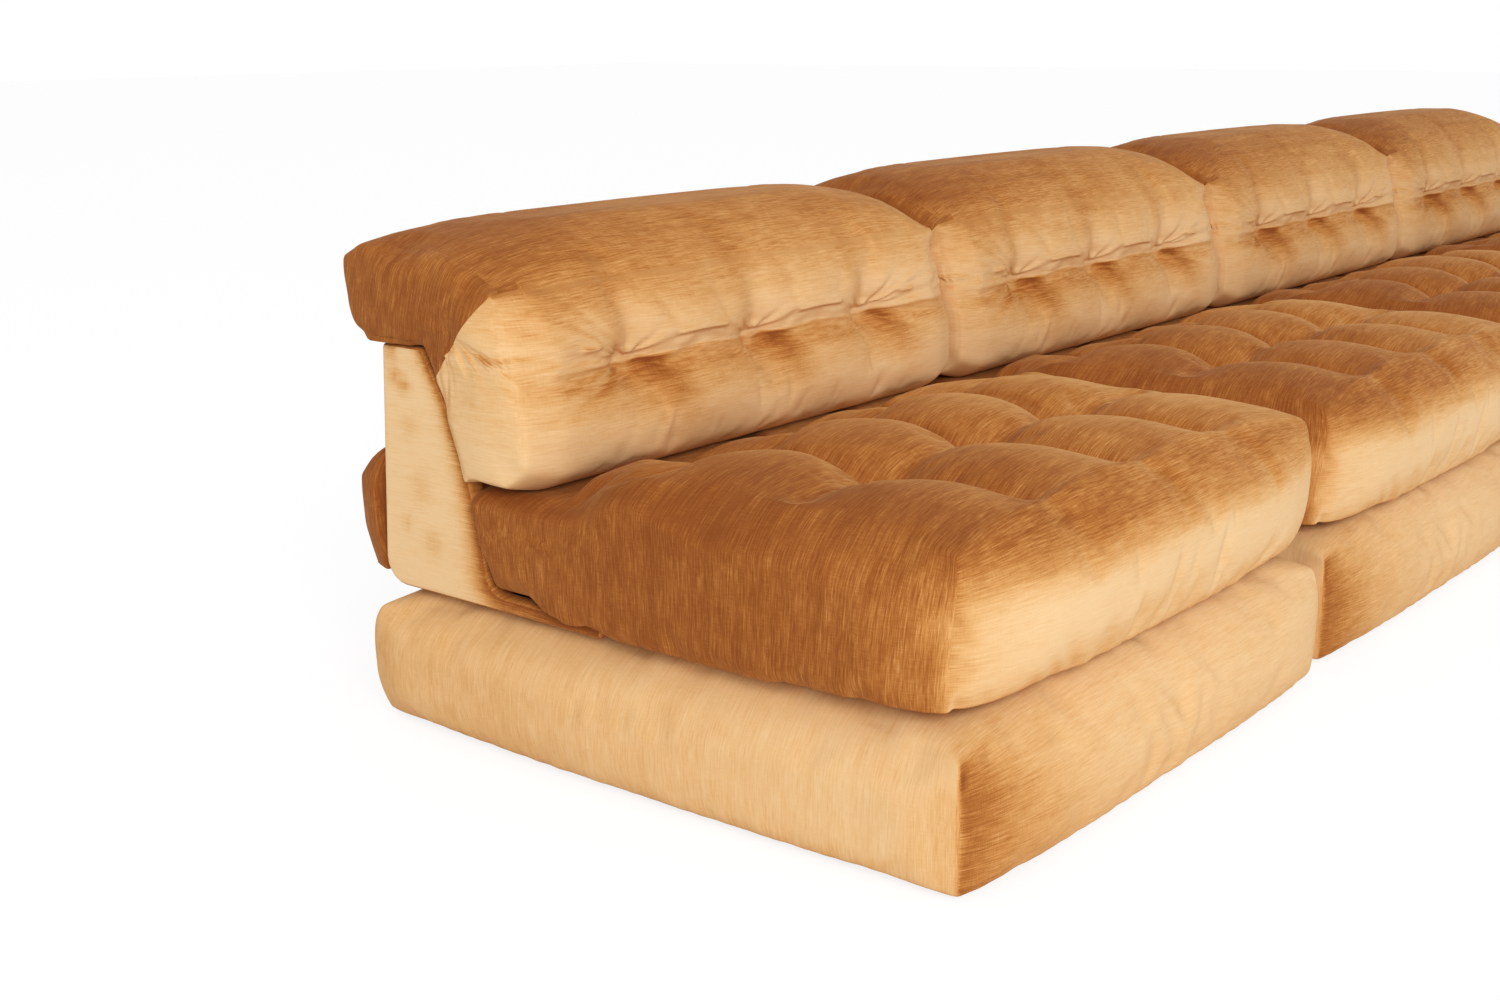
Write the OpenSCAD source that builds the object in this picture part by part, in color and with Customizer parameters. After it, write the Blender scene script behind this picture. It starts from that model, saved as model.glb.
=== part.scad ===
// Modular sofa: a straight row of four matching seat modules.
// Each module is a stack of loose pieces: a base cushion on glides, a support with two padded
// L-shaped brackets, a seat cushion held between the brackets, and a back cushion over them.
// X runs along the row, the front faces -Y, and Z is up with the floor at zero.
// The origin is on the floor, in the middle of the row's length and depth.

/* [Base cushion] */
// Side of the base cushion in plan, from corner seam to corner seam
base_side = 921; // [880:1:960]
// How far each side of the base cushion swells past its corner seams
base_bulge = 19.3; // [10:0.1:28]
// Height of the base cushion from its underside to its flat top
base_height = 176; // [150:1:210]
// Depth of the rounding along the base cushion's upper edges
base_round = 46; // [30:1:60]
// Depth of the rounding along its lower edges, which the weight presses flat
base_foot_round = 24; // [12:1:40]
// How far the corner seams stop below the base cushion's top
base_corner_drop = 13; // [2:1:20]
// How far the corner seams stop above its underside
base_corner_lift = 5; // [1:1:12]
// Gap between neighbouring modules
module_gap = 0.4; // [0.4:0.1:4]

/* [Base frame] */
// Side of the timber frame inside the base cushion
frame_side = 800; // [760:1:830]
// Height of the frame's rails
rail_height = 80; // [60:1:95]
// Thickness of the frame's rails
rail_thickness = 22; // [16:1:30]
// Thickness of the plywood deck on the rails
deck_thickness = 12; // [9:1:18]
// Thickness of the dark cloth stapled under the frame
lining_thickness = 1.5; // [1:0.5:3]
// Height of each glide under the frame
glide_height = 8; // [6:0.5:14]
// Radius of each glide's flange
glide_flange_radius = 26; // [20:1:34]
// Radius of each glide's foot
glide_foot_radius = 20; // [14:1:24]
// Thickness of each glide's flange
glide_flange_thickness = 4; // [2:0.5:5]

/* [Seat cushion] */
// Side of the seat cushion in plan, from corner seam to corner seam
seat_side = 916; // [880:1:940]
// How far the seat cushion is set back from the base cushion
seat_setback = 33.5; // [10:0.5:45]
// Height of the seat cushion from its underside to the crest of its pillows
seat_height = 226; // [200:1:250]
// Depth of the rounding along the seat cushion's upper edges
seat_round = 58; // [40:1:70]
// Depth of the rounding along its lower edges
seat_foot_round = 40; // [25:1:60]
// How far the corner seams stop below the crest of the pillows
seat_corner_drop = 25; // [4:1:34]
// How far the corner seams stop above the seat cushion's underside
seat_corner_lift = 17; // [4:1:24]
// Spacing of the sewn tufts, three rows of three
tuft_spacing = 230; // [200:1:250]
// Depth of each tuft below the pillows
tuft_depth = 56; // [30:1:60]
// Depth of the valleys that join the tufts
valley_depth = 20; // [8:1:28]
// Depth of the trough that the back cushion presses into the seat cushion
trough_depth = 69; // [60:1:78]
// Thickness of the cover and wadding between the foam slab and the floor of the trough
seat_foam_cover = 12; // [9:0.5:20]
// Gap between the foam slab's ends and the brackets
seat_foam_gap = 42; // [32:1:80]
// Depth of the foam slab from front to rear
seat_foam_depth = 820; // [760:1:840]
// Thickness of each twine tie
tie_width = 6; // [4:0.5:8]
// Radius of the washer at each end of a tie
tie_washer_radius = 15; // [10:1:20]
// Thickness of the washers
tie_washer_thickness = 3; // [2:0.5:4]

/* [Support brackets] */
// Height of the brackets above the base cushion
bracket_height = 328; // [300:1:350]
// Thickness of each bracket across the row
bracket_thickness = 26; // [20:1:34]
// Distance of each bracket's outer face inside the corner seams
bracket_inset = 2; // [0:0.5:8]
// How far the brackets' rear edge stands behind the corner seams of the base cushion
bracket_rear_overhang = 3; // [0:0.5:12]
// Lean of the rear edge, from bottom to top
bracket_lean = 16; // [0:1:24]
// Depth of the upright at its top
bracket_top_depth = 79; // [60:1:90]
// Depth of the upright just above the foot
bracket_root_depth = 199; // [180:1:215]
// How far the front edge bows forward at half height
bracket_bow = 18; // [5:1:28]
// Length of the foot along the base cushion, from the rear edge
bracket_foot_length = 400; // [340:1:460]
// Height of the foot
bracket_foot_height = 20; // [18:0.5:26]
// Radius of the lower rear corner
bracket_corner_radius = 36; // [20:1:50]
// Radius of the inside corner between upright and foot
bracket_fillet_radius = 30; // [15:1:40]
// Thickness of the steel plate inside each bracket
plate_thickness = 6; // [4:0.5:10]
// Width of the plate's upright
plate_upright_width = 40; // [30:1:50]
// Height of the plate's foot
plate_foot_height = 7; // [5:0.5:8]
// Depth of the dark board that joins the two feet under the seat cushion
board_depth = 240; // [160:1:300]
// Thickness of the board
board_thickness = 16; // [10:0.5:18]

/* [Back cushion] */
// Length of the back cushion along the row, over its swollen ends
back_length = 952; // [912:1:958]
// How far each end of the back cushion swells past its edges
back_end_bulge = 6; // [2:0.5:12]
// Height of the back cushion above the brackets
back_rise = 151; // [130:1:175]
// Depth of the back cushion's lower part at its fullest
back_foot_depth = 138; // [125:1:145]
// How far the back cushion reaches behind the brackets' rear edge at the top
back_rear_overhang = 71; // [50:1:90]
// Height of the row of tufts above the back cushion's lower end
back_tuft_height = 147; // [125:1:160]
// Spacing of the three tufts along the row
back_tuft_spacing = 258; // [230:1:270]
// Depth of the crease that joins the tufts, behind the cushion's fullest front
back_crease_depth = 32; // [15:1:40]
// Depth of the tufts below the crease
back_tuft_depth = 12; // [4:1:16]
// How far the front swells between the tufts
back_swell = 6; // [0:1:10]
// How far the top front edge stands behind the cushion's fullest front
back_top_setback = 95; // [70:1:110]
// Length of the rounding at each end
back_end_round = 12; // [6:1:18]
// How far the front's lower edge stands behind the cushion's fullest front
back_toe_setback = 12; // [4:1:20]
// Thickness of the plywood hook inside the back cushion
hook_thickness = 12; // [9:1:15]
// Height of the hook's lower end above the cushion's underside
hook_lift = 18; // [12:1:30]
// Distance of the hook and its foam from each end of the cushion
hook_end_gap = 112; // [96:1:146]
// Thickness of the wadding over the foam
back_foam_cover = 30; // [24:1:40]
// Least thickness of padding over the inner parts
padding = 12; // [9:1:14]

/* [Hidden] */
KINDS = [
    "base_cover", "base_frame", "base_lining", "base_glides",
    "left_bracket", "right_bracket", "left_plate", "right_plate", "foot_board",
    "seat_cover", "seat_foam", "seat_ties",
    "back_cover", "back_foam", "back_hook"
];
// Modules in the row
module_count = 4;

// Distance from one module to the next
module_pitch = base_side + 2 * base_bulge + module_gap;

// Clearance between soft pieces that rest on or beside each other
rest_gap = 0.4;

// Heights of the stack
base_low = glide_height;
base_top = base_low + base_height;
support_low = base_top + rest_gap;
bracket_top = support_low + bracket_height;
foot_top = support_low + bracket_foot_height;
seat_low = base_top + rest_gap;
seat_top = seat_low + seat_height;
trough_floor = seat_top - trough_depth;
back_low = trough_floor + rest_gap;
hook_low = bracket_top + rest_gap;
back_high = hook_low + back_rise;

// Places from front to rear, measured from the middle of the base cushion
seat_middle = seat_setback;
seat_bulge = (module_pitch - module_gap - seat_side) / 2;
bracket_rear = base_side / 2 + bracket_rear_overhang;
bracket_top_rear = bracket_rear - bracket_lean;
bracket_top_front = bracket_top_rear - bracket_top_depth;
bracket_root_front = bracket_rear - bracket_root_depth;
bracket_tip = bracket_rear - bracket_foot_length;
back_rear = bracket_top_rear + back_rear_overhang;

// Shift that puts the middle of the row's depth over the origin
front_reach = base_side / 2 + base_bulge;
rear_reach = max(back_rear, seat_middle + seat_side / 2 + seat_bulge, front_reach);
depth_shift = (front_reach - rear_reach) / 2;

// Places across a module, measured from its middle
bracket_outer = base_side / 2 - bracket_inset;
bracket_inner = bracket_outer - bracket_thickness;

// Colours of the velvet and of the parts under it
velvet = [0.72, 0.45, 0.14];
dark_velvet = [0.5, 0.3, 0.1];
pale_velvet = [0.83, 0.64, 0.34];
foam_colour = [0.93, 0.88, 0.7];
timber_colour = [0.78, 0.62, 0.42];
dark_cloth = [0.08, 0.08, 0.1];
steel_colour = [0.35, 0.36, 0.38];
twine_colour = [0.85, 0.8, 0.7];

// Steps of the soft forms, few enough to keep the whole model light
seat_divisions = 16;
base_divisions = 8;
side_angles = [-90, -48, 0, 40, 68];
side_squareness = 0.65;
arc_steps = 5;
curve_steps = 4;

// Sides of the small turned pieces
glide_sides = 24;
flange_sides = 12;
tie_sides = 6;
washer_sides = 8;

function module_x(number) = (number - (module_count + 1) / 2) * module_pitch;

function mix(a, b, share) = a + (b - a) * share;

// Stations across a cushion from -1 to 1, with a quarter of them outside each tuft line
function station(i, divisions, tuft_share) =
    let (quarter = divisions / 4)
    i < quarter ? mix(-1, -tuft_share, i / quarter)
    : i > 3 * quarter ? mix(tuft_share, 1, (i - 3 * quarter) / quarter)
    : mix(-tuft_share, tuft_share, (i - quarter) / (2 * quarter));

// Shares of the full swell and of the half height at an angle round a cushion's side
function swell(angle) = pow(max(cos(angle), 0), side_squareness);
function climb(angle) = sign(angle) * pow(abs(sin(angle)), side_squareness);

// A crowned square cushion: sides that swell between four corner seams, over a flat underside.
// rounds and drops are pairs, for the lower and the upper edges and ends of the seams.
// shape(x, y) gives how far the top lies below its crown.
module cushion(side, bulge, low, high, rounds, drops, divisions, tuft_at, shape) {
    middle = (low + high) / 2;
    half_height = (high - low) / 2;
    ring_count = len(side_angles);
    top_angle = side_angles[ring_count - 1];
    top_half = side / 2 - rounds[1] * (1 - swell(top_angle));
    top_bulge = bulge * swell(top_angle);
    ring_size = 4 * divisions;
    stations = [for (i = [0:divisions]) station(i, divisions, tuft_at / top_half)];

    function ring_point(angle, side_number, share) =
        let (
            end = angle > 0 ? 1 : 0,
            half = side / 2 - rounds[end] * (1 - swell(angle)),
            along = share * half,
            out = half + bulge * swell(angle) * (1 - share * share),
            turn = side_number * 90,
            drop = angle > -90 ? drops[end] * pow(share, 4) : 0
        )
        [
            along * cos(turn) + out * sin(turn),
            along * sin(turn) - out * cos(turn),
            middle + (half_height - drop) * climb(angle)
        ];

    function top_point(u, v) =
        let (
            x = u * top_half + top_bulge * u * (1 - v * v),
            y = v * top_half + top_bulge * v * (1 - u * u),
            fade = (1 - pow(u, 4)) * (1 - pow(v, 4)),
            rim = middle + (half_height - drops[1] * pow(u * v, 4)) * climb(top_angle)
        )
        [x, y, mix(rim, high, fade) - fade * shape(u * top_half, v * top_half)];

    rings = [
        for (angle = side_angles, side_number = [0:3], i = [0:divisions - 1])
        ring_point(angle, side_number, stations[i])
    ];
    inner = [
        for (j = [1:divisions - 1], i = [1:divisions - 1])
        top_point(stations[i], stations[j])
    ];
    last_ring = (ring_count - 1) * ring_size;
    inner_start = ring_count * ring_size;
    underside = inner_start + len(inner);

    // Index of a point of the top, taken from the last ring where it lies on the rim
    function top_index(i, j) =
        j == 0 ? last_ring + i
        : i == divisions ? last_ring + divisions + j
        : j == divisions ? last_ring + 3 * divisions - i
        : i == 0 ? last_ring + (4 * divisions - j) % ring_size
        : inner_start + (j - 1) * (divisions - 1) + i - 1;

    side_faces = [
        for (k = [0:ring_count - 2], i = [0:ring_size - 1])
        let (
            a = k * ring_size + i,
            b = k * ring_size + (i + 1) % ring_size
        )
        each [[a, b + ring_size, b], [a, a + ring_size, b + ring_size]]
    ];
    top_faces = [
        for (j = [0:divisions - 1], i = [0:divisions - 1])
        let (
            a = top_index(i, j),
            b = top_index(i + 1, j),
            c = top_index(i + 1, j + 1),
            d = top_index(i, j + 1)
        )
        each (i < divisions / 2) == (j < divisions / 2)
            ? [[a, c, b], [a, d, c]]
            : [[a, d, b], [b, d, c]]
    ];
    underside_faces = [
        for (i = [0:ring_size - 1])
        [i, (i + 1) % ring_size, underside]
    ];
    polyhedron(
        points = concat(rings, inner, [[0, 0, low]]),
        faces = concat(side_faces, top_faces, underside_faces)
    );
}

// Depth of the seat's tufts and of the valleys that join them
function seat_dent(x, y) =
    let (
        across = pow(cos(180 * x / tuft_spacing), 2),
        along = pow(cos(180 * y / tuft_spacing), 2)
    )
    valley_depth * (across + along) / 2 + (tuft_depth - valley_depth) * across * along;

// Points of a quarter turn round a centre
function arc(centre, radius, from, to) = [
    for (i = [0:arc_steps])
    let (angle = mix(from, to, i / arc_steps))
    centre + radius * [cos(angle), sin(angle)]
];

// Height at which the brackets' front edge leaves the fillet over the foot
edge_low = foot_top + bracket_fillet_radius;

// The brackets' bowed front edge, as heights with the depth of the edge at each
edge_table = [
    for (i = [0:curve_steps])
    let (share = i / curve_steps)
    [
        mix(edge_low, bracket_top, share),
        mix(bracket_root_front, bracket_top_front, share) - 4 * share * (1 - share) * bracket_bow
    ]
];

// Depth of the brackets' front edge at any height
function front_edge(z) = lookup(z, edge_table);

// Side outline of a bracket, grown by a clearance: depth along x and height along y
module bracket_outline(grow = 0) {
    corner = [bracket_rear - bracket_corner_radius, support_low + bracket_corner_radius];
    fillet = [bracket_root_front - bracket_fillet_radius, edge_low];
    polygon(concat(
        [[bracket_tip - grow, support_low - grow]],
        arc(corner, bracket_corner_radius + grow, -90, 0),
        [[bracket_top_rear + grow, bracket_top + grow]],
        [[bracket_top_front - grow, bracket_top + grow]],
        [for (i = [curve_steps - 1:-1:1]) [edge_table[i][1] - grow, edge_table[i][0]]],
        arc(fillet, bracket_fillet_radius - grow, 0, -90),
        [[bracket_tip - grow, foot_top + grow]]
    ));
}

// Stands a side outline up across the row, from one x to another
module across(from, to) {
    translate([from, 0, 0])
        rotate([90, 0, 90])
            linear_extrude(to - from)
                children();
}

module bracket_shape() {
    across(bracket_inner, bracket_outer)
        bracket_outline();
}

// Pocket beside the seat cushion for a bracket, open to the module's side.
// Its lower rear corner is square, so the cushion lifts clear of the bracket's rear edge.
module bracket_pocket() {
    across(bracket_inner - rest_gap, module_pitch / 2) {
        bracket_outline(rest_gap);
        translate([bracket_rear - bracket_corner_radius, support_low - rest_gap])
            square(bracket_corner_radius + rest_gap);
    }
}

// Steel plate inside a bracket, an upright on a foot
module plate_solid() {
    middle = (bracket_inner + bracket_outer) / 2;
    plate_low = support_low + (bracket_foot_height - plate_foot_height) / 2;
    plate_rear = bracket_top_rear - padding;
    across(middle - plate_thickness / 2, middle + plate_thickness / 2)
        polygon([
            [bracket_tip + padding, plate_low],
            [plate_rear, plate_low],
            [plate_rear, bracket_top - padding],
            [plate_rear - plate_upright_width, bracket_top - padding],
            [plate_rear - plate_upright_width, plate_low + plate_foot_height],
            [bracket_tip + padding, plate_low + plate_foot_height]
        ]);
}

module bracket_solid() {
    difference() {
        bracket_shape();
        plate_solid();
    }
}

module board_solid() {
    translate([-bracket_inner, bracket_tip, support_low])
        cube([2 * bracket_inner, board_depth, board_thickness]);
}

// Inside of the base cushion, open below, that holds the frame and the lining
module frame_space() {
    frame_height = lining_thickness + rail_height + deck_thickness;
    translate([-frame_side / 2, -frame_side / 2, base_low])
        cube([frame_side, frame_side, frame_height]);
}

module base_cover_solid() {
    difference() {
        cushion(base_side, base_bulge, base_low, base_top, [base_foot_round, base_round],
            [base_corner_lift, base_corner_drop], base_divisions, base_side / 4,
            function(x, y) 0);
        frame_space();
    }
}

module base_frame_solid() {
    rail_low = base_low + lining_thickness;
    bay = (frame_side - 4 * rail_thickness) / 3;
    for (i = [0:3])
        translate([-frame_side / 2 + i * (bay + rail_thickness), -frame_side / 2, rail_low])
            cube([rail_thickness, frame_side, rail_height]);
    for (front = [-frame_side / 2, frame_side / 2 - rail_thickness])
        translate([-frame_side / 2, front, rail_low])
            cube([frame_side, rail_thickness, rail_height]);
    translate([-frame_side / 2, -frame_side / 2, rail_low + rail_height])
        cube([frame_side, frame_side, deck_thickness]);
}

module base_lining_solid() {
    translate([-frame_side / 2, -frame_side / 2, base_low])
        cube([frame_side, frame_side, lining_thickness]);
}

module base_glides_solid() {
    reach = frame_side / 2 - glide_flange_radius;
    for (x = [-reach, reach], y = [-reach, reach])
        translate([x, y, 0]) {
            cylinder(h = glide_height, r = glide_foot_radius, $fn = glide_sides);
            translate([0, 0, glide_height - glide_flange_thickness])
                cylinder(h = glide_flange_thickness, r = glide_flange_radius, $fn = flange_sides);
        }
}

// Block that the back cushion's lower part takes up in the seat cushion, open above
module trough_space() {
    front = back_front - back_swell - rest_gap;
    rear = bracket_top_front;
    translate([-module_pitch / 2, front, trough_floor])
        cube([module_pitch, rear - front, 2 * seat_height]);
}

// Space under the seat cushion for the board and the brackets' feet
module foot_space() {
    translate([-bracket_outer - rest_gap, bracket_tip - rest_gap, seat_low - seat_height])
        cube([
            2 * (bracket_outer + rest_gap),
            bracket_rear - bracket_tip,
            seat_height + foot_top - seat_low + rest_gap
        ]);
}

// The foam slab fills the seat cushion between the brackets, from over their feet to the trough
seat_foam_low = foot_top + rest_gap + padding;
seat_foam_height = trough_floor - seat_foam_cover - seat_foam_low;
seat_foam_width = 2 * (bracket_inner - seat_foam_gap);

module seat_foam_space() {
    translate([-seat_foam_width / 2, seat_middle - seat_foam_depth / 2, seat_foam_low])
        cube([seat_foam_width, seat_foam_depth, seat_foam_height]);
}

module seat_ties_solid() {
    for (i = [-1:1], j = [-1:1])
        translate([i * tuft_spacing, seat_middle + j * tuft_spacing, seat_foam_low]) {
            cylinder(h = seat_foam_height, d = tie_width, $fn = tie_sides);
            for (z = [0, seat_foam_height - tie_washer_thickness])
                translate([0, 0, z])
                    cylinder(h = tie_washer_thickness, r = tie_washer_radius, $fn = washer_sides);
        }
}

module seat_foam_solid() {
    difference() {
        seat_foam_space();
        seat_ties_solid();
    }
}

module seat_cover_solid() {
    difference() {
        translate([0, seat_middle, 0])
            cushion(seat_side, seat_bulge, seat_low, seat_top, [seat_foot_round, seat_round],
                [seat_corner_lift, seat_corner_drop], seat_divisions, tuft_spacing,
                function(x, y) seat_dent(x, y));
        seat_foam_space();
        trough_space();
        foot_space();
        bracket_pocket();
        mirror([1, 0, 0])
            bracket_pocket();
    }
}

// Where the back cushion's front stands at its fullest, and the height of its section
back_front = front_edge(back_low) - back_foot_depth;
back_tall = back_high - back_low;
back_tuft_share = back_tuft_height / back_tall;
upper_share = function(share) mix(back_tuft_share, 1, share);

// Points up the front: share of the height, distance behind the fullest front, and the share of
// a tuft's dent that reaches the point. A negative share swells it instead.
front_profile = [
    [0.04, back_toe_setback, 0],
    [0.16, 0, -0.4],
    [mix(0.16, back_tuft_share, 0.55), 0.22 * back_crease_depth, -0.6],
    [back_tuft_share, back_crease_depth, 1],
    [upper_share(0.25), 0.97 * back_crease_depth, -0.4],
    [upper_share(0.5), mix(back_crease_depth, back_top_setback, 0.15), 0],
    [upper_share(0.7), mix(back_crease_depth, back_top_setback, 0.45), 0],
    [upper_share(0.89), back_top_setback, 0]
];

// Points of the top and the rear: distance from the rear as a share of the top's depth, and
// share of the height over the brackets
rear_profile = [[0.8, 1], [0.47, 1], [0.18, 0.93], [0.04, 0.74], [0, 0.45], [0.066, 0.1], [0.176, 0]];
back_top_depth = back_rear - back_front - back_top_setback;

// Point inside the section that its ends draw in towards
back_heart = [mix(back_front, bracket_top_front, 0.66), mix(hook_low, back_high, 0.23)];

// Section of the back cushion at a place along the row, as depth and height.
// draw is how far the section draws in towards its heart there.
function back_section(x, draw) =
    let (
        hump = pow(cos(180 * x / back_tuft_spacing), 2),
        dent = back_tuft_depth * hump - back_swell * (1 - hump),
        front = [
            for (p = front_profile)
            [
                back_front + p[1] + (p[2] > 0 ? dent : back_swell * (1 - hump)) * p[2],
                back_low + p[0] * back_tall
            ]
        ],
        rear = [
            for (p = rear_profile)
            [back_rear - p[0] * back_top_depth, mix(hook_low, back_high, p[1])]
        ],
        under = [
            [bracket_top_front - rest_gap, hook_low],
            for (i = [curve_steps - 1:-1:1])
            if (edge_table[i][0] > back_low + rest_gap)
            [edge_table[i][1] - rest_gap, edge_table[i][0]],
            [front_edge(back_low) - rest_gap, back_low]
        ],
        toe = [mix(front[0][0], front_edge(back_low), 0.3), back_low]
    )
    [for (p = concat(front, rear, under, [toe])) mix(p, back_heart, draw)];

module back_form() {
    edge = back_length / 2 - back_end_bulge;
    inside = edge - back_end_round;
    third = back_tuft_spacing / 3;
    // Places along the row, each with the share of its draw
    stations = concat(
        [[-edge, 0.12], [-inside, 0.04]],
        [for (i = [-5:5]) [i * third, 0]],
        [[inside, 0.04], [edge, 0.12]]
    );
    count = len(stations);
    sections = [for (s = stations) back_section(s[0], s[1])];
    size = len(sections[0]);
    points = [
        for (k = [0:count - 1], p = sections[k])
        [stations[k][0], p[0], p[1]]
    ];
    left_heart = len(points);
    right_heart = left_heart + 1;
    walls = [
        for (k = [0:count - 2], i = [0:size - 1])
        let (
            a = k * size + i,
            b = k * size + (i + 1) % size
        )
        each [[a, b, b + size], [a, b + size, a + size]]
    ];
    left_faces = [for (i = [0:size - 1]) [left_heart, (i + 1) % size, i]];
    right_faces = [
        for (i = [0:size - 1])
        [right_heart, (count - 1) * size + i, (count - 1) * size + (i + 1) % size]
    ];
    hearts = [for (side = [-0.5, 0.5]) [side * back_length, back_heart[0], back_heart[1]]];
    polyhedron(
        points = concat(points, hearts),
        faces = concat(walls, left_faces, right_faces)
    );
}

// Plywood hook inside the back cushion, short of its tapered ends
inner_length = back_length - 2 * hook_end_gap;
hook_front = front_edge(back_low) - rest_gap - padding - hook_thickness;
hook_under = hook_low + padding;
hook_rear = back_rear - rear_profile[2][0] * back_top_depth;
panel_low = back_low + hook_lift;

// A panel down the front of the brackets, and a shelf over them
module back_hook_solid() {
    across(-inner_length / 2, inner_length / 2)
        polygon([
            [hook_front, panel_low],
            [hook_front + hook_thickness, panel_low],
            [hook_front + hook_thickness, hook_under],
            [hook_rear, hook_under],
            [hook_rear, hook_under + hook_thickness],
            [hook_front, hook_under + hook_thickness]
        ]);
}

// Foam in front of the hook's panel and on its shelf
module back_foam_solid() {
    foam_front = back_front + back_crease_depth + back_tuft_depth + padding;
    foam_top = back_high - back_foam_cover;
    across(-inner_length / 2, inner_length / 2)
        polygon([
            [foam_front, panel_low],
            [hook_front, panel_low],
            [hook_front, hook_under + hook_thickness],
            [hook_rear, hook_under + hook_thickness],
            [hook_rear, foam_top],
            [back_front + back_top_setback + padding, foam_top],
            [foam_front, back_low + upper_share(0.5) * back_tall]
        ]);
}

module back_cover_solid() {
    difference() {
        back_form();
        back_foam_solid();
        back_hook_solid();
    }
}

// Puts a piece of one module in its place in the row
module in_row(number) {
    translate([module_x(number), depth_shift, 0])
        children();
}

module base_cover(number) {
    color(velvet)
        in_row(number)
            base_cover_solid();
}

module base_frame(number) {
    color(timber_colour)
        in_row(number)
            base_frame_solid();
}

module base_lining(number) {
    color(dark_cloth)
        in_row(number)
            base_lining_solid();
}

module base_glides(number) {
    color(dark_cloth)
        in_row(number)
            base_glides_solid();
}

module right_bracket(number) {
    color(pale_velvet)
        in_row(number)
            bracket_solid();
}

module left_bracket(number) {
    color(pale_velvet)
        in_row(number)
            mirror([1, 0, 0])
                bracket_solid();
}

module right_plate(number) {
    color(steel_colour)
        in_row(number)
            plate_solid();
}

module left_plate(number) {
    color(steel_colour)
        in_row(number)
            mirror([1, 0, 0])
                plate_solid();
}

module foot_board(number) {
    color(dark_cloth)
        in_row(number)
            board_solid();
}

module seat_cover(number) {
    color(velvet)
        in_row(number)
            seat_cover_solid();
}

module seat_foam(number) {
    color(foam_colour)
        in_row(number)
            seat_foam_solid();
}

module seat_ties(number) {
    color(twine_colour)
        in_row(number)
            seat_ties_solid();
}

module back_cover(number) {
    color(dark_velvet)
        in_row(number)
            back_cover_solid();
}

module back_foam(number) {
    color(foam_colour)
        in_row(number)
            back_foam_solid();
}

module back_hook(number) {
    color(timber_colour)
        in_row(number)
            back_hook_solid();
}

for (number = [1:module_count]) {
    base_cover(number);
    base_frame(number);
    base_lining(number);
    base_glides(number);
    left_bracket(number);
    right_bracket(number);
    left_plate(number);
    right_plate(number);
    foot_board(number);
    seat_cover(number);
    seat_foam(number);
    seat_ties(number);
    back_cover(number);
    back_foam(number);
    back_hook(number);
}
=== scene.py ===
import math

import bpy
import numpy as np
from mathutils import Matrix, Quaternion, Vector


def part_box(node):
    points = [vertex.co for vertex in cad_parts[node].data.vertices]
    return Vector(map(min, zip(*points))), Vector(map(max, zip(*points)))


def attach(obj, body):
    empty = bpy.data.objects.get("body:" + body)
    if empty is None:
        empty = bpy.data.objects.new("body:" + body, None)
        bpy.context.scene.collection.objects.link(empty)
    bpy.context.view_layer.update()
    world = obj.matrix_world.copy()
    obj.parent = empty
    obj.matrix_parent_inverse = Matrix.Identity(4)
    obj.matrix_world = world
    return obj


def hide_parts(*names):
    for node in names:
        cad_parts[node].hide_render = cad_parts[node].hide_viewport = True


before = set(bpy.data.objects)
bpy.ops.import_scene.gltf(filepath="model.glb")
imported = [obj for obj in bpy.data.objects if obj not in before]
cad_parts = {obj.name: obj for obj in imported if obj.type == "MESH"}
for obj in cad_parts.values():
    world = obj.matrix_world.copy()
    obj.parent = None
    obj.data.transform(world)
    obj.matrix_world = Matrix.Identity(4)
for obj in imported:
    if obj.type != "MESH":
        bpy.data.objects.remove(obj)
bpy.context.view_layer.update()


# The camera stands off the row's front left corner, just above the backs.
# It looks along the seats, so the fourth module runs out of the picture at the right.
camera_data = bpy.data.cameras.new("camera")
camera_data.sensor_width = 36
camera_data.lens = 43.97
camera_data.clip_start = 0.05
camera_data.clip_end = 60
camera = bpy.data.objects.new("camera", camera_data)
bpy.context.scene.collection.objects.link(camera)
camera.location = (-3.4137, -1.4499, 0.9118)
camera.rotation_mode = "QUATERNION"
line_of_sight = Vector((0.7453, 0.6174, -0.2519))
camera.rotation_quaternion = (
    line_of_sight.to_track_quat("-Z", "Y") @ Quaternion((0, 0, 1), math.radians(-0.42)))
bpy.context.scene.camera = camera


# Base cushions: low square cushions of velvet over wadding and a timber frame.
# Each is sewn from a top and four side panels, with plain seams at the corners only.
# They stand side by side, and their weight presses their lower edges nearly flat.
MODULES = (1, 2, 3, 4)
TOP, UNDERSIDE, FRONT, REAR, LEFT, RIGHT = range(6)


def module_middle(number):
    low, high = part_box(f"base_cover_{number}")
    return (low + high) / 2


def cut_across(axis, place):
    """In edit mode, cuts the whole piece across one axis at a place."""
    direction = [0.0, 0.0, 0.0]
    direction[axis] = 1.0
    bpy.ops.mesh.select_all(action="SELECT")
    bpy.ops.mesh.bisect(plane_co=[place] * 3, plane_no=direction)


def cut_block(name, low, high, cuts):
    """A block of cloth panels, cut across along x, y and z at the given places."""
    bpy.ops.object.select_all(action="DESELECT")
    middle = [(a + b) / 2 for a, b in zip(low, high)]
    size = [b - a for a, b in zip(low, high)]
    bpy.ops.mesh.primitive_cube_add(size=1, location=middle, scale=size)
    piece = bpy.context.object
    piece.name = piece.data.name = name
    bpy.ops.object.transform_apply(location=True, rotation=True, scale=True)
    bpy.ops.object.mode_set(mode="EDIT")
    for axis, places in enumerate(cuts):
        for place in places:
            cut_across(axis, place)
    bpy.ops.object.mode_set(mode="OBJECT")
    return piece


# Distance of the first cut from a seam
BESIDE_SEAM = 0.006


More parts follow.
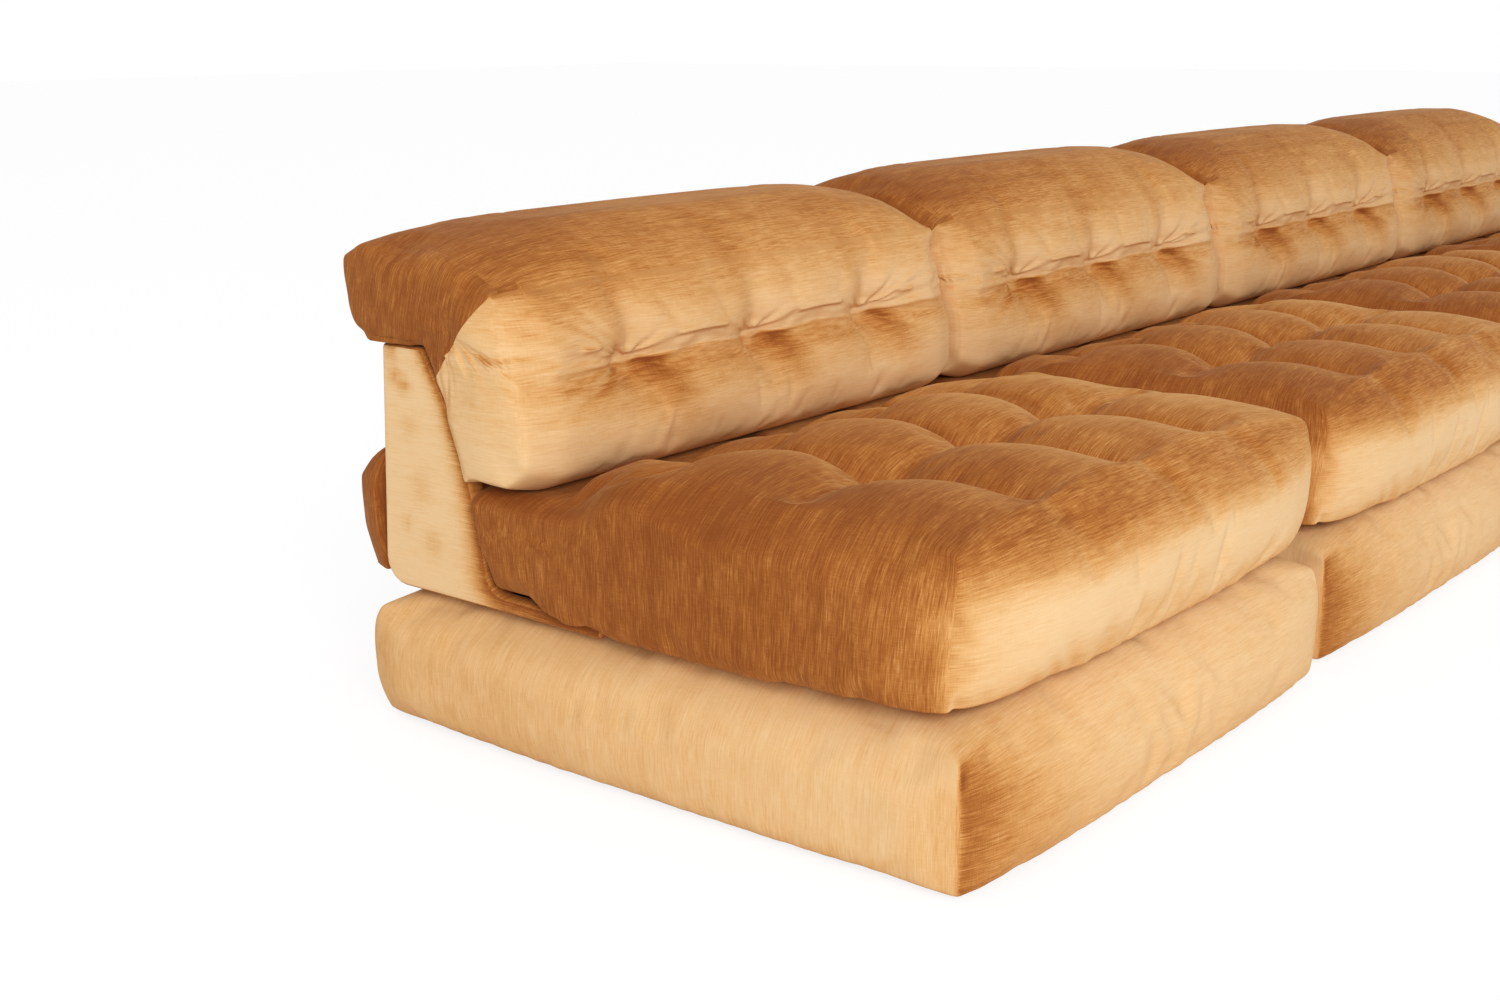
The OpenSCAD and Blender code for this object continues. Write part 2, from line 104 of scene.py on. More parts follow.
def even_cuts(low, high, step):
    """Places of the cuts between two seams, with one close beside each seam."""
    count = round((high - low - 4 * BESIDE_SEAM) / step)
    inner = np.linspace(low + 2 * BESIDE_SEAM, high - 2 * BESIDE_SEAM, count + 1)
    return [low + BESIDE_SEAM, *inner, high - BESIDE_SEAM]


def read_mesh(items, key, width=1, kind=np.float32):
    flat = np.empty(len(items) * width, kind)
    items.foreach_get(key, flat)
    return flat.reshape(-1, width) if width > 1 else flat


def points_of(piece):
    return read_mesh(piece.data.vertices, "co", 3).astype(float)


def normals_of(piece):
    return read_mesh(piece.data.vertices, "normal", 3).astype(float)


def move_points(piece, points):
    piece.data.vertices.foreach_set("co", points.astype(np.float32).ravel())
    piece.data.update()


def loop_marks(mesh):
    """For each corner of each face: its vertex, and its face's panel."""
    corner = read_mesh(mesh.loops, "vertex_index", kind=np.int32)
    sides = read_mesh(mesh.polygons, "loop_total", kind=np.int32)
    panel = read_mesh(mesh.attributes["panel"].data, "value", kind=np.int32)
    return corner, np.repeat(panel, sides)


def store_panels(mesh, panel):
    marks = mesh.attributes.get("panel") or mesh.attributes.new("panel", "INT", "FACE")
    marks.data.foreach_set("value", panel.astype(np.int32))


def store_threads(mesh, along, across):
    while mesh.uv_layers:
        mesh.uv_layers.remove(mesh.uv_layers[0])
    threads = mesh.uv_layers.new(name="threads")
    threads.data.foreach_set("uv", np.stack([along, across], 1).astype(np.float32).ravel())


def lay_threads(piece, low, high):
    """Marks each panel of a cut block, and lays its threads along the row and down the sides."""
    mesh = piece.data
    facing = read_mesh(mesh.polygons, "normal", 3)
    store_panels(mesh, np.select(
        [facing[:, 2] > 0.5, facing[:, 2] < -0.5, facing[:, 1] < -0.5,
         facing[:, 1] > 0.5, facing[:, 0] < -0.5],
        [TOP, UNDERSIDE, FRONT, REAR, LEFT], RIGHT))
    corner, on = loop_marks(mesh)
    place = points_of(piece)[corner]
    down = high[2] - place[:, 2]
    along = np.where(on == LEFT, low[0] - down, np.where(on == RIGHT, high[0] + down, place[:, 0]))
    across = np.where(on == FRONT, low[1] - down, np.where(on == REAR, high[1] + down, place[:, 1]))
    store_threads(mesh, along, across + 3.0 * (on == UNDERSIDE))


def unit(value):
    """The value, held between 0 and 1."""
    return np.clip(value, 0, 1)


def bell(distance, reach):
    return np.exp(-(distance / reach) ** 2)


def in_module(points):
    """Places counted from the first module's middle, as rows of x, y and z."""
    return (points - [middle.x, middle.y, 0.0]).T


def out_of_module(x, y, z):
    return np.stack([x, y, z], 1) + [middle.x, middle.y, 0.0]


def by_side(place, sides):
    return np.where(place < 0, sides[0], sides[1])


def fill_cushion(points, middle, reaches, bulges, low, high, rounds, powers, drops, rim, dent):
    """Fills a cut block out into a cushion with swollen sides, drawn-in seams and a crowned top.
    Reaches and bulges are for the left, right, front and rear, the pairs for lower and upper.
    Rounds draw the seams in, powers shape the sides, drops lower the corners, and rim is the height
    of the upper seam as a share of the cushion's half height."""
    x, y, z = (points - [middle[0], middle[1], 0.0]).T
    reach_x, reach_y = by_side(x, reaches[:2]), by_side(y, reaches[2:])
    bulge_x, bulge_y = by_side(x, bulges[:2]), by_side(y, bulges[2:])
    u, v = x / reach_x, y / reach_y
    waist, tall = (low + high) / 2, (high - low) / 2
    climb = -1 + (rim + 1) * unit((z - low) / (high - low))
    power = by_side(climb, powers)
    fullness = (1 - np.abs(climb) ** power).clip(0) ** (1 / power)

    def out(reach, bulge, share):
        drawn = by_side(climb, rounds) * (1 - 0.75 * share ** 4) * (1 - fullness)
        return reach - drawn + bulge * fullness * (1 - np.clip(share, -1, 1) ** 4) ** 0.7

    on_x = np.abs(u) >= np.abs(v)
    side_x = np.where(on_x, np.sign(x) * out(reach_x, bulge_x, v), u * out(reach_x, 0, 1.0))
    side_y = np.where(on_x, v * out(reach_y, 0, 1.0), np.sign(y) * out(reach_y, bulge_y, u))
    share = np.where(on_x, v, u)
    side_z = waist + (tall - by_side(climb, drops) * share ** 4) * climb
    fade = (1 - u ** 8) * (1 - v ** 8)
    edge = waist + (tall - drops[1] * (u * v) ** 4) * rim
    top_z = edge + (high - edge) * fade - fade * dent(x, y)
    on_top = z > high - 1e-5
    on_floor = z < low + 1e-5
    flat = on_top | on_floor
    return np.stack([
        np.where(flat, u * out(reach_x, bulge_x, v), side_x),
        np.where(flat, v * out(reach_y, bulge_y, u), side_y),
        np.where(on_top, top_z, np.where(on_floor, low + drops[0] * (u * v) ** 4, side_z))
    ], 1) + [middle[0], middle[1], 0.0]


def side_cuts(low, high, count):
    """Heights of the cuts round a cushion's sides, closer together just above its lower edge."""
    return [low + 0.004, low + 0.011, *np.linspace(low + 0.022, high, count)[:-1]]


def pick(piece):
    bpy.ops.object.select_all(action="DESELECT")
    piece.select_set(True)
    bpy.context.view_layer.objects.active = piece


def round_cloth(piece):
    """Rounds the finished cloth with one applied subdivision surface."""
    pick(piece)
    rounded = piece.modifiers.new("rounded", "SUBSURF")
    rounded.levels = 1
    rounded.render_levels = 1
    bpy.ops.object.modifier_apply(modifier=rounded.name)
    bpy.ops.object.shade_smooth()


SETTLING_FRAMES = 20


def blow_up(piece, held, pressure, slack, shrink, cap):
    """Lets the cloth settle over its filling, held fast where held is true, and keeps that shape.
    The cover starts shrink smaller than the filled form, is cut larger by slack and moves cap at most."""
    before = points_of(piece)
    move_points(piece, before - shrink * normals_of(piece) * ~held[:, None])
    group = piece.vertex_groups.new(name="held")
    group.add(np.nonzero(held)[0].tolist(), 1.0, "REPLACE")
    pick(piece)
    cloth = piece.modifiers.new("cloth", "CLOTH")
    settings = cloth.settings
    settings.quality = 6
    settings.mass = 0.25
    settings.tension_stiffness = 22
    settings.compression_stiffness = 12
    settings.shear_stiffness = 8
    settings.bending_stiffness = 0.35
    settings.tension_damping = 8
    settings.compression_damping = 8
    settings.air_damping = 4
    settings.use_pressure = True
    settings.uniform_pressure_force = pressure
    settings.shrink_min = -slack
    settings.vertex_group_mass = "held"
    settings.pin_stiffness = 4
    settings.effector_weights.gravity = 0
    cloth.collision_settings.use_collision = False
    cloth.point_cache.frame_start = 1
    cloth.point_cache.frame_end = SETTLING_FRAMES
    for number in range(1, SETTLING_FRAMES + 1):
        bpy.context.scene.frame_set(number)
    bpy.ops.object.modifier_apply(modifier=cloth.name)
    bpy.context.scene.frame_set(1)
    moved = points_of(piece) - before
    length = np.linalg.norm(moved, axis=1, keepdims=True)
    moved *= np.minimum(1, cap / np.maximum(length, 1e-9))
    piece.vertex_groups.clear()
    move_points(piece, before + moved)


# Distance from a tuft within which its folds rise
FOLDS_RISE = 0.012


def folds_round(across, up, directions, height):
    """Folds that run from a tuft. Each has its direction and spread in degrees and its length."""
    distance = np.hypot(across, up)
    angle = np.degrees(np.arctan2(up, across))
    total = 0 * distance
    for direction, spread, length in directions:
        off = (angle - direction + 180) % 360 - 180
        total += bell(off, spread) * np.exp(-distance / length)
    return height * total * (1 - bell(distance, FOLDS_RISE))


def swell_free_end(piece, extra):
    """Lets the row's outer end, which no neighbour holds in, swell a little further."""
    points = points_of(piece)
    x, y, z = in_module(points)
    points[:, 0] -= extra(y, z) * unit((-x - 0.36) / 0.10) ** 2
    move_points(piece, points)


def blend_sheen_by_facing(facing, tones, spread=1.6):
    """Blends painted tones for cloth that faces left, right, front, rear, up and down: the velvet's pile
    sheen painted in by facing.
    """
    weights = [unit(side * facing[:, axis]) ** spread
               for axis, side in ((0, -1), (0, 1), (1, -1), (1, 1), (2, 1), (2, -1))]
    return sum(w * t for w, t in zip(weights, tones)) / (sum(weights) + 1e-9)


def store_tone(piece, tone_of):
    """Stores the painted pile sheen and shade at each corner of the cloth, from 0 dark to 1 pale."""
    mesh = piece.data
    corner, on = loop_marks(mesh)
    tone = tone_of(points_of(piece)[corner], normals_of(piece)[corner], on)
    layer = mesh.attributes.new("tone", "FLOAT", "CORNER")
    layer.data.foreach_set("value", unit(tone).astype(np.float32))


def copy_along(piece, name, number):
    """A like piece further along the row, with its own mesh and its own run of threads."""
    twin = piece.copy()
    twin.data = piece.data.copy()
    twin.name = twin.data.name = name
    bpy.context.scene.collection.objects.link(twin)
    shift = module_middle(number) - module_middle(1)
    move_points(twin, points_of(twin) + [shift.x, 0.0, 0.0])
    threads = twin.data.uv_layers["threads"]
    laid = read_mesh(threads.data, "uv", 2) + [0.37 * number, 1.93 * number]
    threads.data.foreach_set("uv", laid.astype(np.float32).ravel())
    return twin


def dress(piece, body, node):
    """Puts a padded cover in place of its plain solid, on the body that carries it."""
    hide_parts(node)
    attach(piece, body)


def velvet_cloth(name):
    """Slubby cotton velvet: fine uneven ribs along the threads, paler where the pile is brushed, laid
    over the tone attribute's painted pile sheen and shade.
    """
    cloth = bpy.data.materials.new(name)
    cloth.use_nodes = True
    nodes, links = cloth.node_tree.nodes, cloth.node_tree.links
    nodes.clear()

    def node(kind, **settings):
        made = nodes.new(kind)
        for key, value in settings.items():
            setattr(made, key, value)
        return made

    def maths(operation, first, second):
        made = node("ShaderNodeMath", operation=operation)
        for slot, value in zip(made.inputs, (first, second)):
            if isinstance(value, (int, float)):
                slot.default_value = value
            else:
                links.new(value, slot)
        return made.outputs[0]

    def noise(vector, scale, detail=2.0, roughness=0.5):
        """Noise about zero, on coordinates stretched by scale."""
        placed = node("ShaderNodeMapping")
        placed.inputs["Scale"].default_value = scale
        links.new(vector, placed.inputs["Vector"])
        made = node("ShaderNodeTexNoise", noise_dimensions="3D")
        made.inputs["Scale"].default_value = 1.0
        made.inputs["Detail"].default_value = detail
        made.inputs["Roughness"].default_value = roughness
        links.new(placed.outputs["Vector"], made.inputs["Vector"])
        return maths("SUBTRACT", made.outputs["Fac"], 0.5)

    def total(*shares):
        sum_of = 0.0
        for pattern, weight in shares:
            sum_of = maths("ADD", maths("MULTIPLY", pattern, weight), sum_of)
        return sum_of

    threads = node("ShaderNodeUVMap", uv_map="threads").outputs["UV"]
    place = node("ShaderNodeTexCoord").outputs["Object"]
    tone = node("ShaderNodeAttribute", attribute_name="tone").outputs["Fac"]

    slubs = noise(threads, (22, 480, 1), 3.0, 0.7)
    ribs = noise(threads, (45, 1100, 1), 1.0)
    weft = noise(threads, (760, 60, 1), 2.0, 0.7)
    brushed = noise(threads, (5, 60, 1), 4.0, 0.6)
    mottle = noise(place, (7, 7, 7), 3.0, 0.55)
    bruised = noise(place, (30, 30, 30), 4.0, 0.65)

    uneven = total(
        (slubs, 0.80), (ribs, 0.46), (weft, 0.30), (brushed, 0.36), (mottle, 0.32), (bruised, 0.18))
    # Where the painted sheen and shade make the pile dark, it shows its slubs more than where they make
    # it pale
    contrast = maths("SUBTRACT", 1.10, maths("MULTIPLY", tone, 0.70))
    sheen_and_slubs = maths("ADD", tone, maths("MULTIPLY", uneven, contrast))

    ramp = node("ShaderNodeValToRGB")
    ramp.color_ramp.interpolation = "B_SPLINE"
    shades = (
        (0.0, (0.235, 0.060, 0.010)), (0.22, (0.338, 0.097, 0.017)),
        (0.45, (0.552, 0.222, 0.047)), (0.72, (0.780, 0.440, 0.165)),
        (1.0, (0.885, 0.630, 0.355)))
    while len(ramp.color_ramp.elements) < len(shades):
        ramp.color_ramp.elements.new(0.5)
    for stop, (position, colour) in zip(ramp.color_ramp.elements, shades):
        stop.position = position
        stop.color = (*colour, 1)
    links.new(sheen_and_slubs, ramp.inputs["Fac"])

    relief = total((slubs, 0.6), (ribs, 0.5), (weft, 0.3), (bruised, 0.5))
    bump = node("ShaderNodeBump")
    bump.inputs["Strength"].default_value = 0.4
    bump.inputs["Distance"].default_value = 0.0012
    links.new(relief, bump.inputs["Height"])

    gloss = maths("SUBTRACT", 0.80, maths("MULTIPLY", sheen_and_slubs, 0.22))
    surface = node("ShaderNodeBsdfPrincipled")
    surface.inputs["Sheen Weight"].default_value = 0.16
    surface.inputs["Sheen Roughness"].default_value = 0.35
    surface.inputs["Sheen Tint"].default_value = (1.0, 0.66, 0.30, 1)
    surface.inputs["Specular IOR Level"].default_value = 0.12
    links.new(ramp.outputs["Color"], surface.inputs["Base Color"])
    links.new(gloss, surface.inputs["Roughness"])
    links.new(bump.outputs["Normal"], surface.inputs["Normal"])
    finish = node("ShaderNodeOutputMaterial")
    links.new(surface.outputs["BSDF"], finish.inputs["Surface"])
    return cloth


velvet = velvet_cloth("velvet")
BASE_HALF = 0.4605
BASE_BULGES = (0.0192, 0.0192, 0.030, 0.026)
BASE_LOW, BASE_HIGH = 0.003, 0.1836
# How far a base may swell towards its neighbour, and how near the floor its cloth may come
BASE_LIMIT = 0.4797
BASE_CLEARANCE = 0.0015
# How much further back the fronts of the other modules' bases stand than the first one's
FRONT_DRAWN_IN = 0.010
LINING_TOP = 0.0102
FRAME_HALF = 0.400


def base_tone(place, facing, panel):
    # Painted pile sheen by facing: the left side and top pale, the left side paler towards the front, the
    # front darker towards its left corner.
    x, y, z = in_module(place)
    from_corner = np.clip(x + BASE_HALF, 0, None)
    front = 0.90 - 0.82 * np.exp(-from_corner / 0.11)
    side = 0.80 - 0.14 * np.clip(y + 0.1, -0.3, 0.5)
    return blend_sheen_by_facing(facing, (side, 0.62, front, 0.5, 0.80, 0.5))


middle = module_middle(1)
block_low = (middle.x - BASE_HALF, middle.y - BASE_HALF, BASE_LOW)
block_high = (middle.x + BASE_HALF, middle.y + BASE_HALF, BASE_HIGH)
base_cushion = cut_block("base_cushion_1", block_low, block_high, [
    even_cuts(block_low[0], block_high[0], 0.013),
    even_cuts(block_low[1], block_high[1], 0.013),
    side_cuts(BASE_LOW, BASE_HIGH, 15)])
lay_threads(base_cushion, block_low, block_high)
filled = fill_cushion(
    points_of(base_cushion), middle, (BASE_HALF,) * 4, BASE_BULGES, BASE_LOW, BASE_HIGH,
    rounds=(0.024, 0.062), powers=(7, 2.3), drops=(0.004, 0.015), rim=0.90, dent=lambda x, y: 0 * x)
move_points(base_cushion, filled)
blow_up(base_cushion, filled[:, 2] < BASE_LOW + 0.005, pressure=1.2, slack=0.02, shrink=0.002, cap=0.010)


def settle_base(points):
    """Keeps a base cushion clear of its neighbours, under the seat and round its frame."""
    x, y, z = in_module(points)
    x = np.clip(x, -BASE_LIMIT, BASE_LIMIT)
    z = np.clip(z, BASE_CLEARANCE, BASE_HIGH)
    inside = (np.abs(x) < FRAME_HALF) & (np.abs(y) < FRAME_HALF) & (z < 0.03)
    z = np.where(inside, LINING_TOP, z)
    return out_of_module(x, y, z)


move_points(base_cushion, settle_base(points_of(base_cushion)))
round_cloth(base_cushion)
move_points(base_cushion, settle_base(points_of(base_cushion)))
store_tone(base_cushion, base_tone)
base_cushion.data.materials.append(velvet)

for number in (4, 3, 2):
    twin = copy_along(base_cushion, f"base_cushion_{number}", number)
    points = points_of(twin)
    points[:, 1] += FRONT_DRAWN_IN * unit((middle.y - 0.44 - points[:, 1]) / 0.04)
    move_points(twin, points)
    dress(twin, f"base_{number}", f"base_cover_{number}")
swell_free_end(base_cushion, lambda y, z: (
    0.024 * unit((y + 0.34) / 0.40) * (1 - 0.8 * unit(1 - z / 0.065) ** 1.5)))
dress(base_cushion, "base_1", "base_cover_1")


# Seat cushions: deep square velvet cushions over foam, tufted three by three with blind ties.
# They lie loose on the bases. The brackets squeeze their sides, and the back cushion presses
# a trough across their rear.
SEAT_REACHES = (0.440, 0.458, 0.458, 0.478)
SEAT_BULGES = (0.0394, 0.0214, 0.040, 0.022)
SEAT_SETBACK = 0.0335
SEAT_LOW, SEAT_HIGH = 0.1848, 0.4104
SLAB_TOP = 0.3294
TUFT_SPACING = 0.230
# The seat's half width between the brackets and what it gains clear of them
BETWEEN_PADS, CLEAR_OF_PADS = 0.4318, 0.043
# The brackets' outer faces and the top of their feet, as the seat meets them
PAD_OUTSIDE = 0.459
FOOT_LEVEL = 0.2052
# Floor, front and rear of the trough that the back cushion presses
TROUGH = (0.3410, 0.1435, 0.3690)


def cuts_from(line, low, high, step):
    """Like even cuts, but counted out both ways from a line of tufts."""
    steps = np.arange(-60, 61) * step + line
    inner = steps[(steps > low + 1.6 * BESIDE_SEAM) & (steps < high - 1.6 * BESIDE_SEAM)]
    return [low + BESIDE_SEAM, *inner, high - BESIDE_SEAM]


def pillow_edge(place):
    """How near a point lies to a valley between pillows: 1 in the valley, 0 on the crest."""
    phase = np.abs((place / TUFT_SPACING + 0.5) % 1 - 0.5) * 2
    return 1 - np.sqrt(unit(1 - (1 - phase) ** 2))


SEAT_FOLDS = (
    (8, 12, 0.050), (52, 14, 0.034), (95, 12, 0.045), (140, 13, 0.036),
    (178, 12, 0.050), (228, 14, 0.036), (268, 12, 0.046), (318, 14, 0.036))
EDGE_FOLDS = ((0, 5, 0.13), (-11, 4, 0.12), (12, 5, 0.10))


def seat_dents(x, y):
    across, along = pillow_edge(x), pillow_edge(y)
    valley, tuft = 0.025, 0.080
    dents = valley * (across + along) + (tuft - 2 * valley) * (across * along) ** 0.7
    for i in (-1, 0, 1):
        for j in (-1, 0, 1):
            place = x - i * TUFT_SPACING, y - j * TUFT_SPACING
            dents = dents + folds_round(*place, SEAT_FOLDS, 0.0045)
            if i == 1:
                dents = dents + folds_round(*place, EDGE_FOLDS, 0.006)
    return dents


def sink_rear(points):
    """Lets the seat's top sink towards the back cushion that leans on it, and its sides swell there."""
    x, y, z = in_module(points)
    pressed = unit((y + 0.012) / 0.155)
    pressed = pressed ** 2 * (3 - 2 * pressed) * unit((0.43 - y) / 0.05)
    sunk = 0.050 * pressed * unit((z - 0.29) / 0.07)
    wide = unit((y + 0.10) / 0.16) * unit((np.abs(x) - 0.34) / 0.08)
    wide = 0.036 * wide * unit((z - 0.22) / 0.06) * (y < 0.40)
    behind = 0.013 * unit((y - 0.43) / 0.04) * unit((np.abs(x) - 0.28) / 0.10)
    behind = behind * unit((z - 0.21) / 0.05) * unit((0.40 - z) / 0.06)
    return points + np.stack([np.sign(x) * wide, behind, -sunk], 1)


def draw_valleys(piece):
    """Draws the lines between the pillows in tight, once the cloth has been rounded."""
    points, facing = points_of(piece), normals_of(piece)
    offset = points[:, :2] - seat_middle
    aside = np.abs((offset / TUFT_SPACING + 0.5) % 1 - 0.5) * TUFT_SPACING
    aside = np.where(np.abs(offset) < 1.4 * TUFT_SPACING, aside, 1.0)
    fade = unit((0.415 - np.abs(offset).max(1)) / 0.14) * unit(facing[:, 2] * 2 - 0.9)
    drawn = 0.0055 * np.exp(-aside / 0.0045).sum(1) * fade
    move_points(piece, points - drawn[:, None] * facing)


# Heights and depths of the brackets' bowed front edge
BRACKET_EDGE = (
    (0.2344, 0.2645), (0.3039, 0.2770), (0.3734, 0.2985), (0.4429, 0.3290), (0.5124, 0.3685))


def bracket_front(height):
    heights, depths = zip(*BRACKET_EDGE)
    return np.interp(height, heights, depths)


def over_foot(y):
    """How far the seat's side has come down over the outside of the bracket's foot, from 0 to 1."""
    return unit((0.19 - y) / 0.08)


def beside_bracket(y, z):
    """Distance of a point, seen from the side, outside the bracket's outline."""
    upright = bracket_front(z) - y
    foot = np.maximum(z - FOOT_LEVEL + 0.0190 * over_foot(y), 0.0630 - y)
    behind = y - np.interp(z, [0.2204, 0.5124], [0.4640, 0.4480])
    return np.maximum(np.maximum(np.minimum(upright, foot), behind), 0)


def rounded_ramp(distance, reach):
    return np.sqrt(1 - (1 - unit(distance / reach)) ** 2)


def press_seat(points):
    """Presses the brackets, the back cushion and the brackets' feet into a seat cushion."""
    x, y, z = in_module(points)
    hollow = unit((0.275 - z) / 0.07) * unit((y - 0.15) / 0.05) * (y < 0.30)
    opening = 0.014 + 0.060 * hollow
    free = BETWEEN_PADS + CLEAR_OF_PADS * rounded_ramp(beside_bracket(y, z), opening)
    hugs = (y > 0) & (y < bracket_front(z)) & (np.abs(x) > 0.424)
    hugs = hugs * unit((z - 0.225) / 0.02) * unit((0.342 - z) / 0.02)
    x = x + np.sign(x) * hugs * np.clip(free - 0.002 - np.abs(x), 0, 0.03)
    x = np.clip(x, -free, free)
    trough = TROUGH[0] + 0.080 * rounded_ramp(np.maximum(TROUGH[1] - y, y - TROUGH[2]), 0.075)
    z = np.minimum(z, trough)
    z = np.where(y > 0.44, np.minimum(z, 0.388 - 9.0 * np.clip(y - 0.44, 0, 0.10) ** 2), z)
    over_slab = (z > 0.29) & (np.abs(x) < 0.397) & (y > -0.383) & (y < 0.450)
    z = np.where(over_slab, np.maximum(z, SLAB_TOP + 0.004), z)
    floor = FOOT_LEVEL - 0.0204 * rounded_ramp(np.maximum(0.0620 - y, y - 0.4660), 0.030)
    hanging = over_foot(y) * unit((np.abs(x) - PAD_OUTSIDE) / 0.004)
    floor = np.where(y > 0.062, floor - 0.0175 * hanging, floor)
    return out_of_module(x, y, np.maximum(z, floor))


def lean_right(points):
    """Lets the seats' front ends lean over to the right, each against the next."""
    x, y, z = in_module(points)
    forward = unit((-y - 0.12) / 0.30)
    lean = 0.028 * forward ** 2 * (3 - 2 * forward) * unit((z - 0.17) / 0.16)
    return points + np.stack([lean, 0 * y, 0 * z], 1)


def seat_tone(place, facing, panel):
    x, y, z = in_module(place)
    # Painted pile sheen: the top darker on the left, paler towards the right and on slopes that face
    # right.
    to_right = unit((x + 0.46) / 0.8)
    top = 0.19 + 0.29 * to_right + 0.50 * np.clip(facing[:, 0], -0.12, 0.5)
    # Painted shade: dark lines in the valleys between the pillows.
    aside = np.abs((np.stack([x, y - SEAT_SETBACK]) / TUFT_SPACING + 0.5) % 1 - 0.5) * TUFT_SPACING
    top = top - 0.11 * np.exp(-aside.min(0) / 0.009)
    # Painted pile sheen: the front darker towards its top, the end behind the brackets and the rear dark,
    # the side paler low at the front.
    rise = unit((z - 0.290 + 0.01 * to_right) / 0.080)
    front = np.where(y > 0.3, 0.1, 0.96 - 0.55 * rise ** 2 * (3 - 2 * rise))
    side = 0.18 + 0.6 * np.clip(0.25 - z, 0, 0.07) / 0.07 * np.clip(-y - 0.25, 0, 0.2)
    return blend_sheen_by_facing(facing, (side, 0.35, front, 0.08, top, 0.3))


seat_middle = (middle.x, middle.y + SEAT_SETBACK)
block_low = (seat_middle[0] - SEAT_REACHES[0], seat_middle[1] - SEAT_REACHES[2], SEAT_LOW)
block_high = (seat_middle[0] + SEAT_REACHES[1], seat_middle[1] + SEAT_REACHES[3], SEAT_HIGH)
seat_cushion = cut_block("seat_cushion_1", block_low, block_high, [
    *(cuts_from(seat_middle[axis], block_low[axis], block_high[axis], TUFT_SPACING / 22)
      for axis in (0, 1)),
    side_cuts(SEAT_LOW, SEAT_HIGH, 19)])
lay_threads(seat_cushion, block_low, block_high)
cut = points_of(seat_cushion)
filled = press_seat(sink_rear(fill_cushion(
    cut, seat_middle, SEAT_REACHES, SEAT_BULGES, SEAT_LOW, SEAT_HIGH,
    rounds=(0.022, 0.098), powers=(6, 2.2), drops=(0.015, 0.025), rim=0.90, dent=seat_dents)))
move_points(seat_cushion, filled)
offset = (cut - [seat_middle[0], seat_middle[1], 0])[:, :2]
from_tie = np.linalg.norm((offset / TUFT_SPACING + 0.5) % 1 - 0.5, axis=1) * TUFT_SPACING
within = np.abs(offset).max(1) < 1.3 * TUFT_SPACING
tied = within & (from_tie < 0.009) & (cut[:, 2] > SEAT_HIGH - 1e-4)
held = tied | (filled[:, 2] < SEAT_LOW + 0.005)
blow_up(seat_cushion, held, pressure=1.5, slack=0.03, shrink=0.006, cap=0.013)
move_points(seat_cushion, press_seat(points_of(seat_cushion)))
round_cloth(seat_cushion)
draw_valleys(seat_cushion)
move_points(seat_cushion, lean_right(press_seat(points_of(seat_cushion))))
store_tone(seat_cushion, seat_tone)
seat_cushion.data.materials.append(velvet)

for number in (4, 3, 2):
    twin = copy_along(seat_cushion, f"seat_cushion_{number}", number)
    dress(twin, f"seat_{number}", f"seat_cover_{number}")
swell_free_end(seat_cushion, lambda y, z: (
    0.028 * unit((-y - 0.12) / 0.30) ** 2 * unit((z - 0.17) / 0.16)))
dress(seat_cushion, "seat_1", "seat_cover_1")


# Back cushions: long cushions whose hooked section hangs over the tops of the brackets.
# Three blind tufts draw a crease across the front. The front and top are one length of cloth,
# which a slanting seam joins to each end, whose pile sheen is painted dark.
BACK_HALF = 0.470
BACK_SPACING = 0.258
BACK_LOW, BACK_HIGH, HOOK_LOW = 0.3423, 0.6630, 0.5133
BACK_FRONT, BACK_REAR = 0.1507, 0.5185
# The tufts' height, as a share of the front's and above the floor
TUFT_SHARE, TUFT_HEIGHT = 0.4565, 0.4888
# Depths and heights of each end's heart and of the two ends of its slanting seam
BACK_HEART = (0.294, 0.548)
SEAM_TOP = (0.204, 0.609)
SEAM_FOOT = (0.338, 0.477)
# Steps round the section: the front and top in one sweep, the shelf, the lean and the toe
SWEEP, SHELF, LEAN, TOE = 84, 12, 15, 11
AROUND = SWEEP + SHELF + LEAN + TOE
# Where the crease lies along the sweep, and how much fuller the other modules' backs stand
CREASE_AT = 0.225
FULLER = 0.008
# Directions, spreads and lengths of the folds at each tuft, and of the long ones at the row's end
BACK_FOLDS = (
    (36, 8, 0.040), (14, 7, 0.050), (-9, 8, 0.040), (-46, 11, 0.024),
    (92, 14, 0.030), (148, 9, 0.032), (167, 7, 0.050), (189, 8, 0.034), (222, 11, 0.020))
END_FOLDS = (
    (183, 4, 0.20), (171, 4, 0.17), (161, 4, 0.15), (151, 4, 0.13), (196, 5, 0.14), (141, 5, 0.09))


def smooth_curve(knots, shares):
    """Points along a smooth open curve through the knots, at the given shares of its length."""
    knots = np.asarray(knots, float)
    lengths = np.concatenate([[0], np.cumsum(np.linalg.norm(np.diff(knots, axis=0), axis=1))])
    slopes = np.gradient(knots, lengths, axis=0)
    at = shares * lengths[-1]
    k = np.clip(np.searchsorted(lengths, at, side="right") - 1, 0, len(knots) - 2)
    span = (lengths[k + 1] - lengths[k])[:, None]
    t = (at - lengths[k])[:, None] / span
    start = 2 * t ** 3 - 3 * t ** 2 + 1
    return (start * knots[k] + (t ** 3 - 2 * t ** 2 + t) * span * slopes[k]
            + (1 - start) * knots[k + 1] + (t ** 3 - t ** 2) * span * slopes[k + 1])


def sweep_shares():
    """Shares of the sweep's length for its points, which crowd together round the crease."""
    fine = np.linspace(0, 1, 2000)
    crowding = np.cumsum(1 + 1.8 * bell(fine - CREASE_AT, 0.045))
    return np.interp(np.linspace(crowding[0], crowding[-1], SWEEP), crowding, fine)


def crease_line(x):
    """Height of the sewn crease, which arches a little between its tufts."""
    return TUFT_HEIGHT + 0.007 * np.sin(np.pi * np.clip(x / BACK_SPACING, -1.5, 1.5)) ** 2


